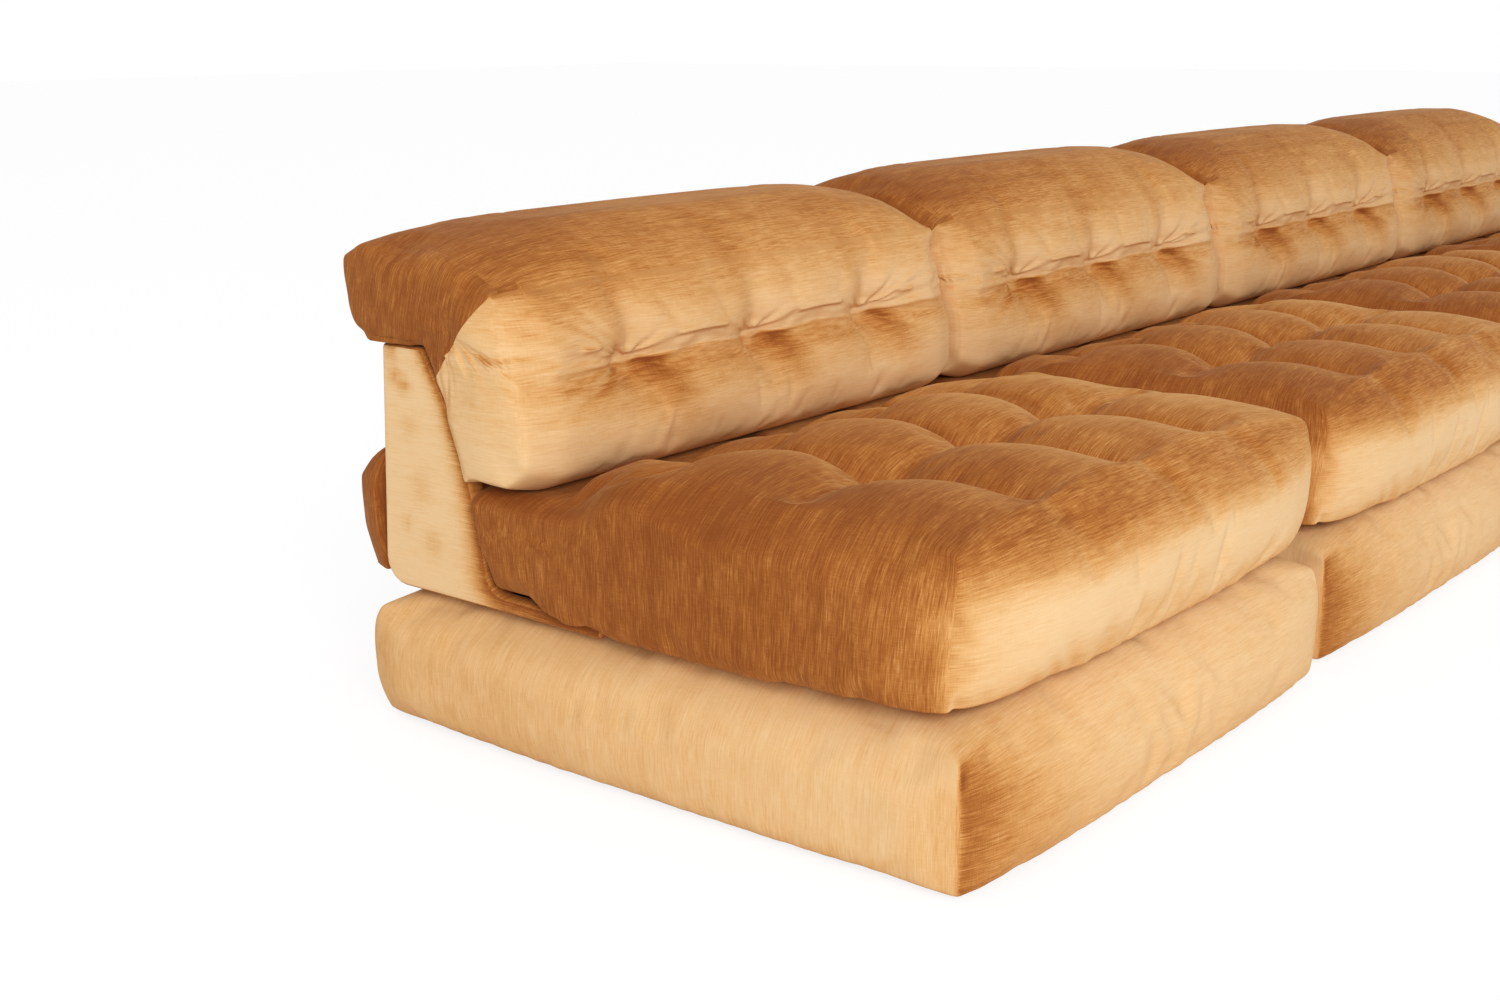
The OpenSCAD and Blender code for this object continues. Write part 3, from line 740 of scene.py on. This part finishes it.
def crease_depth(x, z):
    """Depth of the crease and its tufts, and of the soft valleys that rise from them."""
    off = z - crease_line(x)
    depth = 0.005 * np.exp(-np.abs(off) / 0.008) + 0.005 * bell(off, 0.030)
    depth = depth * (1 - unit((np.abs(x) - 0.28) / 0.14))
    for tuft in (-1, 0, 1):
        across, up = x - tuft * BACK_SPACING, z - TUFT_HEIGHT
        reach = np.where(up > 0, 0.105, 0.035)
        depth = depth + 0.020 * np.exp(-np.hypot(across, up) / 0.020)
        depth = depth + 0.009 * np.exp(-(across / 0.030) ** 2 - (up / reach) ** 2)
    return depth


def draw_crease(piece):
    """Draws the crease in tight and lays the folds round its tufts, once the cloth has been rounded."""
    points, facing = points_of(piece), normals_of(piece)
    x, y, z = in_module(points)
    on_front = (y < 0.27) & (facing[:, 1] < 0)
    from_tuft = np.abs(x - np.clip(np.round(x / BACK_SPACING), -1, 1) * BACK_SPACING)
    depth = 0.0016 + 0.0034 * bell(from_tuft, 0.055)
    depth *= np.exp(-np.abs(z - crease_line(x)) / 0.0035)
    depth *= 1 - unit((np.abs(x) - 0.30) / 0.14)
    for tuft in (-1, 0, 1):
        across, up = x - tuft * BACK_SPACING, z - TUFT_HEIGHT
        depth += 0.0055 * np.exp(-np.hypot(across, up) / 0.009)
        depth += folds_round(across, up, BACK_FOLDS, 0.0075)
        if tuft:
            depth += folds_round(-tuft * across, up, END_FOLDS, 0.0060) * (tuft * across > 0)
    depth *= unit((0.463 - np.abs(x)) / 0.03) * on_front
    move_points(piece, points - depth[:, None] * facing)


def back_section(x):
    """Section of the back cushion at a place along the row, as depths and heights."""
    tall = BACK_HIGH - BACK_LOW
    swell = 0.006 * math.sin(math.pi * x / BACK_SPACING) ** 2
    fading = min(max((abs(x) - 0.29) / 0.14, 0), 1)

    def up(share):
        return TUFT_SHARE + (1 - TUFT_SHARE) * share

    faced = [
        (BACK_FRONT + behind, BACK_LOW + share * tall) for share, behind in (
            (0.015, 0.024), (0.06, 0.006), (0.16, 0.000 - 0.4 * swell),
            (0.30, 0.001 - 0.8 * swell), (0.40, 0.008 - 0.6 * swell),
            (TUFT_SHARE, 0.020 - 0.010 * fading), (up(0.12), 0.015 - 0.5 * swell),
            (up(0.27), 0.020 - 0.9 * swell), (up(0.5), 0.038 - 0.6 * swell), (up(0.7), 0.060),
            (up(0.89), 0.095))]
    depth = BACK_REAR - BACK_FRONT - 0.095
    rear = [(BACK_REAR - a * depth, HOOK_LOW + b * (BACK_HIGH - HOOK_LOW)) for a, b in (
        (0.8, 1), (0.40, 1), (0.10, 0.96), (0.01, 0.80), (0, 0.45), (0.066, 0.1), (0.176, 0))]
    sweep = smooth_curve(faced + rear, sweep_shares())
    crease_row = np.abs(sweep_shares() - CREASE_AT).argmin()
    beside = bell(np.arange(SWEEP) - crease_row, 7)
    sweep[:, 1] += (crease_line(x) - sweep[crease_row, 1]) * beside
    on_front = unit((0.27 - sweep[:, 0]) / 0.05) * unit((sweep[:, 1] - 0.36) / 0.06)
    sweep[:, 0] += crease_depth(x, sweep[:, 1]) * on_front
    shelf = np.linspace(rear[-1], (0.3681, HOOK_LOW), SHELF + 1)[1:]
    heights = np.linspace(HOOK_LOW, BACK_LOW, LEAN + 1)[1:]
    lean = np.stack([bracket_front(heights) - 0.0006, heights], 1)
    toe_end = faced[0][0] + 0.25 * (lean[-1, 0] - faced[0][0])
    toe = np.linspace(lean[-1], (toe_end, BACK_LOW), TOE + 1)[1:]
    section = np.vstack([sweep, shelf, lean, toe])

    to_front = unit((0.30 - section[:, 0]) / 0.08)
    ending = unit((abs(x) - 0.428 + 0.033 * to_front) / (0.042 + 0.033 * to_front))
    inward = np.array(BACK_HEART) - section
    inward /= np.linalg.norm(inward, axis=1, keepdims=True)
    ear = bell(np.linalg.norm(section - SEAM_TOP, axis=1), 0.032)
    round_off = 0.010 + 0.024 * to_front
    round_off = np.where(np.arange(AROUND) < SWEEP, round_off, 0.010)
    drawn = round_off * (1 - 0.85 * ear) * (1 - np.sqrt(1 - ending ** 2)) - 0.004 * ear * ending
    section += drawn[:, None] * inward
    section[:, 1] -= 0.012 * unit((section[:, 1] - 0.620) / 0.035)
    sag = unit((abs(x) - 0.28) / 0.19) ** 2 * unit((section[:, 1] - 0.55) / 0.10)
    forward = unit((0.42 - section[:, 0]) / 0.20)
    section[:, 1] -= (0.003 + 0.011 * forward) * sag
    return section


stations = np.array([
    -0.470, -0.4685, -0.465, *cuts_from(0.0, -0.465, 0.465, BACK_SPACING / 37), 0.465, 0.4685, 0.470])
bpy.ops.object.select_all(action="DESELECT")
bpy.ops.mesh.primitive_cylinder_add(
    vertices=AROUND, radius=0.15, depth=2 * BACK_HALF, end_fill_type="NOTHING",
    location=(middle.x, middle.y, 0.5), rotation=(0, math.pi / 2, 0))
back_cushion = bpy.context.object
back_cushion.name = back_cushion.data.name = "back_cushion_1"
bpy.ops.object.transform_apply(location=True, rotation=True, scale=True)
bpy.ops.object.mode_set(mode="EDIT")
for place in stations[1:-1]:
    cut_across(0, middle.x + place)
bpy.ops.object.mode_set(mode="OBJECT")
tube = points_of(back_cushion)
angle = np.arctan2(tube[:, 2] - 0.5, middle.y - tube[:, 1])
start = angle[np.argmin(np.abs(tube[:, 0] - middle.x + BACK_HALF) + np.abs(angle))]
index = np.round((angle - start) / (2 * math.pi / AROUND)).astype(int) % AROUND
station = np.abs(tube[:, 0:1] - middle.x - stations[None]).argmin(1)
sections = np.stack([back_section(x) for x in stations])[station, index]
move_points(back_cushion, np.stack([
    middle.x + stations[station], middle.y + sections[:, 0], sections[:, 1]], 1))


def end_points(end):
    """Which points of the back cushion lie on the open edge at one end."""
    mesh = back_cushion.data
    uses = np.bincount(read_mesh(mesh.loops, "edge_index", kind=np.int32), minlength=len(mesh.edges))
    edges = read_mesh(mesh.edges, "vertices", 2, np.int32)[uses == 1]
    open_points = np.unique(edges)
    return open_points[(points_of(back_cushion)[open_points, 0] - middle.x) * end > 0]


# Each end panel is drawn in from the end's edge in rings and closed at its heart
END_RINGS = (0.975, 0.93, 0.86, 0.77, 0.66, 0.54, 0.42, 0.30, 0.18, 0.08)
END_PUFF = 0.0075
for end in (-1, 1):
    heart = (middle.x + end * BACK_HALF, middle.y + BACK_HEART[0], BACK_HEART[1])
    size_before = 1.0
    for size in END_RINGS:
        bpy.ops.object.mode_set(mode="EDIT")
        bpy.ops.mesh.select_all(action="DESELECT")
        bpy.ops.mesh.select_mode(type="VERT")
        bpy.ops.object.mode_set(mode="OBJECT")
        for point in end_points(end):
            back_cushion.data.vertices[point].select = True
        bpy.ops.object.mode_set(mode="EDIT")
        puffed = END_PUFF * (math.sqrt(1 - size ** 3) - math.sqrt(1 - size_before ** 3))
        bpy.ops.mesh.extrude_region_move(TRANSFORM_OT_translate={"value": (end * puffed, 0, 0)})
        scale = size / size_before
        bpy.ops.transform.resize(value=(1, scale, scale), center_override=heart)
        size_before = size
    bpy.ops.mesh.merge(type="CENTER")
    bpy.ops.object.mode_set(mode="OBJECT")
    near_end = (read_mesh(back_cushion.data.polygons, "center", 3)[:, 0] - middle.x) * end > 0.43
    bpy.ops.object.mode_set(mode="EDIT")
    bpy.ops.mesh.select_all(action="DESELECT")
    bpy.ops.mesh.select_mode(type="FACE")
    bpy.ops.object.mode_set(mode="OBJECT")
    back_cushion.data.polygons.foreach_set("select", near_end)
    bpy.ops.object.mode_set(mode="EDIT")
    bpy.ops.mesh.bisect(
        plane_co=(middle.x, middle.y + SEAM_TOP[0], SEAM_TOP[1]),
        plane_no=(0, SEAM_TOP[1] - SEAM_FOOT[1], SEAM_FOOT[0] - SEAM_TOP[0]))
    bpy.ops.object.mode_set(mode="OBJECT")
bpy.ops.object.mode_set(mode="EDIT")
bpy.ops.mesh.select_all(action="SELECT")
bpy.ops.mesh.normals_make_consistent(inside=False)
bpy.ops.object.mode_set(mode="OBJECT")


def list_by_place(piece):
    """Lists a piece's points and faces by their place, so that its cloth always settles alike."""
    mesh = piece.data
    points = read_mesh(mesh.vertices, "co", 3)
    order = np.lexsort(points.T)
    rank = np.argsort(order)
    faces = []
    for face in mesh.polygons:
        corners = rank[list(face.vertices)].tolist()
        first = corners.index(min(corners))
        faces.append(corners[first:] + corners[:first])
    mesh.clear_geometry()
    mesh.from_pydata(points[order], [], sorted(faces))


list_by_place(back_cushion)


def behind_seam(y, z):
    """Which side of the end's slanting seam a place lies on: above 0 behind it."""
    along = np.array(SEAM_FOOT) - SEAM_TOP
    return (y - SEAM_TOP[0]) * -along[1] + (z - SEAM_TOP[1]) * along[0]


def lay_back_threads(piece):
    """Threads run along the row over the front and top, round the front's ends and down the rest."""
    mesh = piece.data
    centre = read_mesh(mesh.polygons, "center", 3) - [middle.x, middle.y, 0]
    dark = behind_seam(centre[:, 1], centre[:, 2]) > 0
    turned = np.abs(centre[:, 0]) > np.where(dark, 0.462, BACK_HALF)
    beside_seam = dark & (np.abs(centre[:, 0]) > 0.43) & (centre[:, 2] < SEAM_TOP[1])
    store_panels(mesh, np.select(
        [turned & dark & (centre[:, 0] < 0), turned & dark, turned, beside_seam],
        [LEFT, RIGHT, UNDERSIDE, REAR], FRONT))
    corner, on = loop_marks(mesh)
    x, y, z = (points_of(piece)[corner] - [middle.x, middle.y, 0]).T
    swept = np.where(z < 0.60, z - 0.60 - 0.30, y - 0.60)
    ended = (on == LEFT) | (on == RIGHT)
    along = np.select(
        [ended, on == UNDERSIDE], [0.35 * y - z, np.sign(x) * (BACK_HALF - 0.15 + y)], x)
    across = np.select([ended, on == UNDERSIDE], [y + 0.35 * z - 0.60, z - 0.90], swept)
    store_threads(mesh, along, across)

    # The seam between the front's cloth and each end stays a crisp edge
    edge_of = read_mesh(mesh.loops, "edge_index", kind=np.int32)
    count = np.bincount(edge_of, minlength=len(mesh.edges))
    behind = np.repeat(dark, read_mesh(mesh.polygons, "loop_total", kind=np.int32))
    dark_count = np.bincount(edge_of, weights=behind, minlength=len(mesh.edges))
    crisp = mesh.attributes.new("crease_edge", "FLOAT", "EDGE")
    first = read_mesh(mesh.edges, "vertices", 2, np.int32)[:, 0]
    at_end = np.abs(points_of(piece)[first, 0] - middle.x) > 0.452
    mixed = (dark_count > 0) & (dark_count < count) & at_end
    crisp.data.foreach_set("value", mixed.astype(np.float32))


def back_tone(place, facing, panel):
    x, y, z = in_module(place)
    # Painted pile sheen: the top darker towards the left end.
    from_end = np.clip(x + 0.47, 0, None)
    top = 0.36 - 0.26 * np.exp(-from_end / 0.22)
    # Painted shade under the crease's overhang, darkest just below it and fading out towards the left
    # end.
    below = np.clip(crease_line(x) - z, 0, None)
    crease_shade = unit(below / 0.004) * unit((x + 0.46) / 0.14)
    # Painted light: the front made paler towards the right, against the light's fall-off, and low down,
    # against the seat's shade; painted pile sheen darkens its upper part.
    front = 0.90 + 0.14 * x - 0.34 * unit((z - 0.54) / 0.10)
    front = front + 0.10 * unit((0.43 - z) / 0.07)
    front = front - 0.36 * crease_shade * np.exp(-below / 0.045)
    for tuft in (-1, 0, 1):
        across = x - tuft * BACK_SPACING
        # Painted shade: a dark wedge below each tuft.
        wedge_shade = unit(1 - np.abs(across - 0.034 - 0.4 * below) / (0.034 + 0.4 * below))
        front = front - 0.70 * crease_shade * wedge_shade * np.exp(-below / 0.050)
        # Painted shadow on the left of each tuft, above the crease.
        tuft_shadow = bell(across + 0.026, 0.030) * unit((z - TUFT_HEIGHT) / 0.03)
        front = front - 0.13 * tuft_shadow
    on_cloth = blend_sheen_by_facing(facing, (front, 0.75, front, 0.30, top, 0.7), 1.3)
    # Painted pile sheen: dark by the left end's slanting seam on the top, and on the rear near the left
    # end.
    distance = behind_seam(y, z) / math.dist(SEAM_TOP, SEAM_FOOT)
    above = bell(from_end, 0.15) * unit(distance / 0.07)
    above = above * unit((z - 0.598) / 0.03)
    near_end = np.where(panel == REAR, unit((-x - 0.40) / 0.05), above)
    on_cloth = on_cloth + near_end * (0.18 - on_cloth)
    # Painted pile sheen: the end panels dark, the left one darker.
    return np.select([panel == LEFT, panel == RIGHT], [0.21, 0.30], on_cloth)


lay_back_threads(back_cushion)
lofted = points_of(back_cushion) - [middle.x, middle.y, 0]
nearest_tuft = np.clip(np.round(lofted[:, 0] / BACK_SPACING), -1, 1) * BACK_SPACING
on_line = (np.abs(lofted[:, 2] - TUFT_HEIGHT - 0.003) < 0.006) & (lofted[:, 1] < 0.25)
tied = on_line & (np.abs(lofted[:, 0] - nearest_tuft) < 0.007)
leaning = (lofted[:, 1] > bracket_front(lofted[:, 2]) - 0.004) & (lofted[:, 2] < HOOK_LOW + 0.002)
resting = (np.abs(lofted[:, 2] - BACK_LOW) < 0.002) | (np.abs(lofted[:, 2] - HOOK_LOW) < 0.001)
held = tied | leaning | resting
blow_up(back_cushion, held, pressure=1.5, slack=0.012, shrink=0.008, cap=0.012)

# Front, shoulder, top and foot of the foam inside, the slope above its shoulder and its half length
FOAM_FRONT, FOAM_SHOULDER, FOAM_TOP, FOAM_LOW = 0.2067, 0.5763, 0.6338, 0.3598
FOAM_SLOPE = (0.748, 0.6635)
FOAM_HALF = 0.366
# The least thickness over the foam, and how far a back may swell towards its neighbour
FOAM_COVERED = 0.004
BACK_LIMIT = 0.4785


def settle_back(points):
    """Keeps a back cushion clear of its neighbours, seat and brackets, and outside its foam."""
    x, y, z = in_module(points)
    slope = FOAM_SLOPE[1] * (z - FOAM_SHOULDER) - FOAM_SLOPE[0] * (y - FOAM_FRONT)
    faces = np.stack([FOAM_FRONT - y, slope, z - FOAM_TOP, FOAM_LOW - z])
    short = FOAM_COVERED - faces.max(0)
    short = np.where((short > 0) & (short < 0.03) & (np.abs(x) < FOAM_HALF), short, 0)
    nearest = faces.argmax(0)
    y = y - short * np.select([nearest == 0, nearest == 1], [1.0, FOAM_SLOPE[0]], 0.0)
    z = z + short * np.select([nearest == 1, nearest == 2], [FOAM_SLOPE[1], 1.0], 0.0)
    tucked = 0.017 * bell(bracket_front(z) - y, 0.022) * (z < HOOK_LOW - 0.02)
    x = np.clip(x, tucked - BACK_LIMIT, BACK_LIMIT - tucked)
    z = np.maximum(z, BACK_LOW)
    under = (y > 0.3675) & (z < HOOK_LOW + 0.02)
    z = np.where(under, np.maximum(z, HOOK_LOW), z)
    y = np.where(z < HOOK_LOW - 0.0002, np.minimum(y, bracket_front(z) - 0.0006), y)
    return out_of_module(x, y, z)


move_points(back_cushion, settle_back(points_of(back_cushion)))
round_cloth(back_cushion)
draw_crease(back_cushion)
move_points(back_cushion, settle_back(points_of(back_cushion)))
store_tone(back_cushion, back_tone)
back_cushion.data.materials.clear()
back_cushion.data.materials.append(velvet)

for number in (4, 3, 2):
    twin = copy_along(back_cushion, f"back_cushion_{number}", number)
    plumped = points_of(twin)
    plumped[:, 2] += FULLER * unit((plumped[:, 2] - 0.54) / 0.12)
    move_points(twin, plumped)
    dress(twin, f"back_{number}", f"back_cover_{number}")
swell_free_end(back_cushion, lambda y, z: 0.008 * unit((0.36 - y) / 0.12))
dress(back_cushion, "back_1", "back_cover_1")


# Support brackets: thin L-shaped panels, padded and covered in the same velvet.
# A narrow strip runs round the rim between the two faces, with its pile sheen painted dark.
FOOT_TOP, FOOT_THIN, FOOT_TIP = 0.2044, 0.0045, 0.0635
# Depth, height and radius of the round inside corner between foot and upright
INSIDE_CORNER = (0.2345, 0.2344, 0.030)
# Depths, heights, sizes and darkness of the places where the pile is bruised
BRACKET_MARKS = (
    (0.428, 0.505, 0.012, 0.35), (0.424, 0.472, 0.012, 0.30), (0.405, 0.462, 0.012, 0.35),
    (0.400, 0.405, 0.018, 0.16), (0.385, 0.325, 0.022, 0.18), (0.415, 0.275, 0.010, 0.25),
    (0.365, 0.255, 0.020, 0.20))


def bracket_tone(place, facing, panel):
    """Pale faces, darker towards the front edge, with painted shade along the foot under the seat and
    darker bruised marks.
    """
    x, y, z = in_module(place)
    round_inside = np.hypot(y - INSIDE_CORNER[0], z - INSIDE_CORNER[1]) - INSIDE_CORNER[2]
    low_edge = np.where(y < INSIDE_CORNER[0], FOOT_TOP - z, round_inside)
    from_edge = np.clip(np.where(z > INSIDE_CORNER[1], y - bracket_front(z), low_edge), 0, None)
    reach = 0.013 + 0.012 * unit((0.46 - z) / 0.16)
    pale = 0.94 - 0.78 * np.exp(-(from_edge / reach) ** 1.5)
    # Painted shade: the foot darker under the seat, towards the front.
    pale -= 0.30 * unit((0.25 - y) / 0.12) * (z < 0.21)
    for depth, height, size, dark in BRACKET_MARKS:
        pale -= dark * np.exp(-((y - depth) ** 2 + (z - height) ** 2) / size ** 2) * (x < 0)
    # Painted pile sheen: the rim strip dark.
    return np.where(panel == FRONT, 0.34, pale)


def bracket_pad(node, name):
    """The bracket's outline as a cushioned panel, with rolled edges and a foot that thins out."""
    piece = bpy.data.objects.new(name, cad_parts[node].data.copy())
    piece.data.name = name
    bpy.context.scene.collection.objects.link(piece)
    pick(piece)
    bpy.ops.object.mode_set(mode="EDIT")
    bpy.ops.mesh.select_all(action="SELECT")
    bpy.ops.mesh.remove_doubles(threshold=1e-5)
    bpy.ops.mesh.select_all(action="DESELECT")
    bpy.ops.mesh.select_mode(type="VERT")
    bpy.ops.object.mode_set(mode="OBJECT")
    low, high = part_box(node)
    x = points_of(piece)[:, 0]
    piece.data.vertices.foreach_set("select", (x > low.x + 0.002) & (x < high.x - 0.002))
    bpy.ops.object.mode_set(mode="EDIT")
    bpy.ops.mesh.delete(type="VERT")
    bpy.ops.mesh.select_all(action="SELECT")
    bpy.ops.mesh.dissolve_limited(angle_limit=math.radians(1))
    bpy.ops.object.mode_set(mode="OBJECT")
    rolled = piece.modifiers.new("rolled edges", "BEVEL")
    rolled.width = 0.006
    rolled.segments = 3
    rolled.limit_method = "ANGLE"
    rolled.angle_limit = math.radians(50)
    bpy.ops.object.modifier_apply(modifier=rolled.name)
    bpy.ops.object.mode_set(mode="EDIT")
    for axis, step in ((1, 0.010), (2, 0.012)):
        for place in np.arange(low[axis] + step, high[axis] - 0.004, step):
            cut_across(axis, place)
    bpy.ops.object.mode_set(mode="OBJECT")
    facing = read_mesh(piece.data.polygons, "normal", 3)
    store_panels(piece.data, np.select([facing[:, 0] < -0.9, facing[:, 0] > 0.9], [LEFT, RIGHT], FRONT))
    corner, on = loop_marks(piece.data)
    x, y, z = points_of(piece)[corner].T
    store_threads(piece.data, np.where(on == FRONT, x, y), np.where(on == FRONT, y + z, z))
    points = points_of(piece)
    depth = points[:, 1] - middle.y
    on_foot = (points[:, 2] < FOOT_TOP + 0.001) & (depth < 0.22)
    thinning = FOOT_THIN * unit((0.20 - depth) / (0.20 - FOOT_TIP))
    share = unit((points[:, 2] - low.z) / (FOOT_TOP - low.z))
    points[:, 2] -= np.where(on_foot, thinning * share, 0)
    move_points(piece, points)
    bpy.ops.object.shade_smooth_by_angle(angle=math.radians(40))
    store_tone(piece, bracket_tone)
    piece.data.materials.clear()
    piece.data.materials.append(velvet)
    return piece


for side in ("left", "right"):
    pad = bracket_pad(f"{side}_bracket_1", f"{side}_bracket_pad_1")
    for number in MODULES:
        piece = pad
        if number > 1:
            piece = copy_along(pad, f"{side}_bracket_pad_{number}", number)
        dress(piece, f"support_{number}", f"{side}_bracket_{number}")


# Inner parts: timber frames and hooks, dark cloth and nylon glides under the bases,
# steel plates and boards of the supports, and foam and twine inside the cushions.
def plain_finish(name, dark, pale, stretch, roughness, relief=0.0003, metal=0.0):
    """A finish that varies between two shades in grain stretched along x, y and z."""
    finish = bpy.data.materials.new(name)
    finish.use_nodes = True
    nodes, links = finish.node_tree.nodes, finish.node_tree.links
    place = nodes.new("ShaderNodeTexCoord")
    stretched = nodes.new("ShaderNodeMapping")
    stretched.inputs["Scale"].default_value = stretch
    grain = nodes.new("ShaderNodeTexNoise")
    grain.inputs["Scale"].default_value = 1.0
    grain.inputs["Detail"].default_value = 5.0
    grain.inputs["Roughness"].default_value = 0.62
    shades = nodes.new("ShaderNodeValToRGB")
    shades.color_ramp.elements[0].position = 0.30
    shades.color_ramp.elements[0].color = (*dark, 1)
    shades.color_ramp.elements[1].position = 0.70
    shades.color_ramp.elements[1].color = (*pale, 1)
    bump = nodes.new("ShaderNodeBump")
    bump.inputs["Strength"].default_value = 0.5
    bump.inputs["Distance"].default_value = relief
    surface = nodes["Principled BSDF"]
    surface.inputs["Roughness"].default_value = roughness
    surface.inputs["Metallic"].default_value = metal
    links.new(place.outputs["Object"], stretched.inputs["Vector"])
    links.new(stretched.outputs["Vector"], grain.inputs["Vector"])
    links.new(grain.outputs["Fac"], shades.inputs["Fac"])
    links.new(grain.outputs["Fac"], bump.inputs["Height"])
    links.new(shades.outputs["Color"], surface.inputs["Base Color"])
    links.new(bump.outputs["Normal"], surface.inputs["Normal"])
    return finish


INNER_FINISHES = (
    (("base_frame", "back_hook"), "timber",
     (0.42, 0.27, 0.14), (0.62, 0.44, 0.25), (6, 90, 90), 0.6),
    (("base_lining",), "lining",
     (0.018, 0.018, 0.022), (0.045, 0.045, 0.052), (600, 600, 600), 0.95),
    (("base_glides",), "glide",
     (0.012, 0.012, 0.013), (0.030, 0.030, 0.032), (160, 160, 160), 0.45),
    (("left_plate", "right_plate"), "steel",
     (0.14, 0.145, 0.155), (0.24, 0.245, 0.26), (900, 900, 30), 0.4, 0.0003, 0.9),
    (("foot_board",), "board",
     (0.016, 0.013, 0.011), (0.040, 0.032, 0.027), (9, 140, 140), 0.7),
    (("seat_foam", "back_foam"), "foam",
     (0.70, 0.62, 0.42), (0.85, 0.79, 0.60), (450, 450, 450), 0.95, 0.0010),
    (("seat_ties",), "twine",
     (0.55, 0.48, 0.36), (0.78, 0.72, 0.58), (300, 300, 700), 0.9, 0.0008))
for kinds, *settings in INNER_FINISHES:
    finish = plain_finish(*settings)
    for node in (f"{kind}_{number}" for kind in kinds for number in MODULES):
        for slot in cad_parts[node].material_slots:
            slot.material = finish


# Floor and lamp: a plain pale floor, an even white surround and one broad soft lamp.
# The floor keeps the sofa's shadow, and runs into the white around it.
bpy.ops.object.select_all(action="DESELECT")
bpy.ops.mesh.primitive_plane_add(size=60, location=(0, 0, 0))
floor = bpy.context.object
floor.name = "floor"
floor_finish = bpy.data.materials.new("pale floor")
floor_finish.use_nodes = True
nodes, links = floor_finish.node_tree.nodes, floor_finish.node_tree.links
matt = nodes["Principled BSDF"]
matt.inputs["Base Color"].default_value = (0.9, 0.9, 0.9, 1)
matt.inputs["Roughness"].default_value = 0.9
white = nodes.new("ShaderNodeEmission")
seen = nodes.new("ShaderNodeLightPath")
share = nodes.new("ShaderNodeMath")
share.operation = "MULTIPLY"
share.inputs[1].default_value = 0.72
white.inputs["Strength"].default_value = 1.13
blended = nodes.new("ShaderNodeMixShader")
links.new(seen.outputs["Is Camera Ray"], share.inputs[0])
links.new(share.outputs[0], blended.inputs["Fac"])
links.new(matt.outputs["BSDF"], blended.inputs[1])
links.new(white.outputs["Emission"], blended.inputs[2])
links.new(blended.outputs["Shader"], nodes["Material Output"].inputs["Surface"])
floor.data.materials.append(floor_finish)

world = bpy.data.worlds.new("surround")
bpy.context.scene.world = world
world.use_nodes = True
nodes, links = world.node_tree.nodes, world.node_tree.links
background = nodes["Background"]
background.inputs["Color"].default_value = (1, 1, 1, 1)
seen = nodes.new("ShaderNodeLightPath")
direct = nodes.new("ShaderNodeMath")
direct.operation = "MAXIMUM"
shown = nodes.new("ShaderNodeMath")
shown.operation = "MAXIMUM"
strength = nodes.new("ShaderNodeMapRange")
strength.inputs["To Min"].default_value = 0.62
strength.inputs["To Max"].default_value = 1.0
links.new(seen.outputs["Is Camera Ray"], direct.inputs[0])
links.new(seen.outputs["Is Glossy Ray"], direct.inputs[1])
links.new(direct.outputs[0], shown.inputs[0])
links.new(seen.outputs["Is Transmission Ray"], shown.inputs[1])
links.new(shown.outputs[0], strength.inputs["Value"])
links.new(strength.outputs["Result"], background.inputs["Strength"])

lamp_data = bpy.data.lights.new("front lamp", "AREA")
lamp_data.shape = "SQUARE"
lamp_data.size = 3.6
lamp_data.energy = 355
lamp = bpy.data.objects.new("front lamp", lamp_data)
bpy.context.scene.collection.objects.link(lamp)
lamp.location = (-6.3, -5.7, 4.05)
lit_place = Vector((-0.6, 0, 0.3))
lamp.rotation_euler = (lit_place - lamp.location).to_track_quat("-Z", "Y").to_euler()
bpy.context.scene.view_settings.view_transform = "Standard"
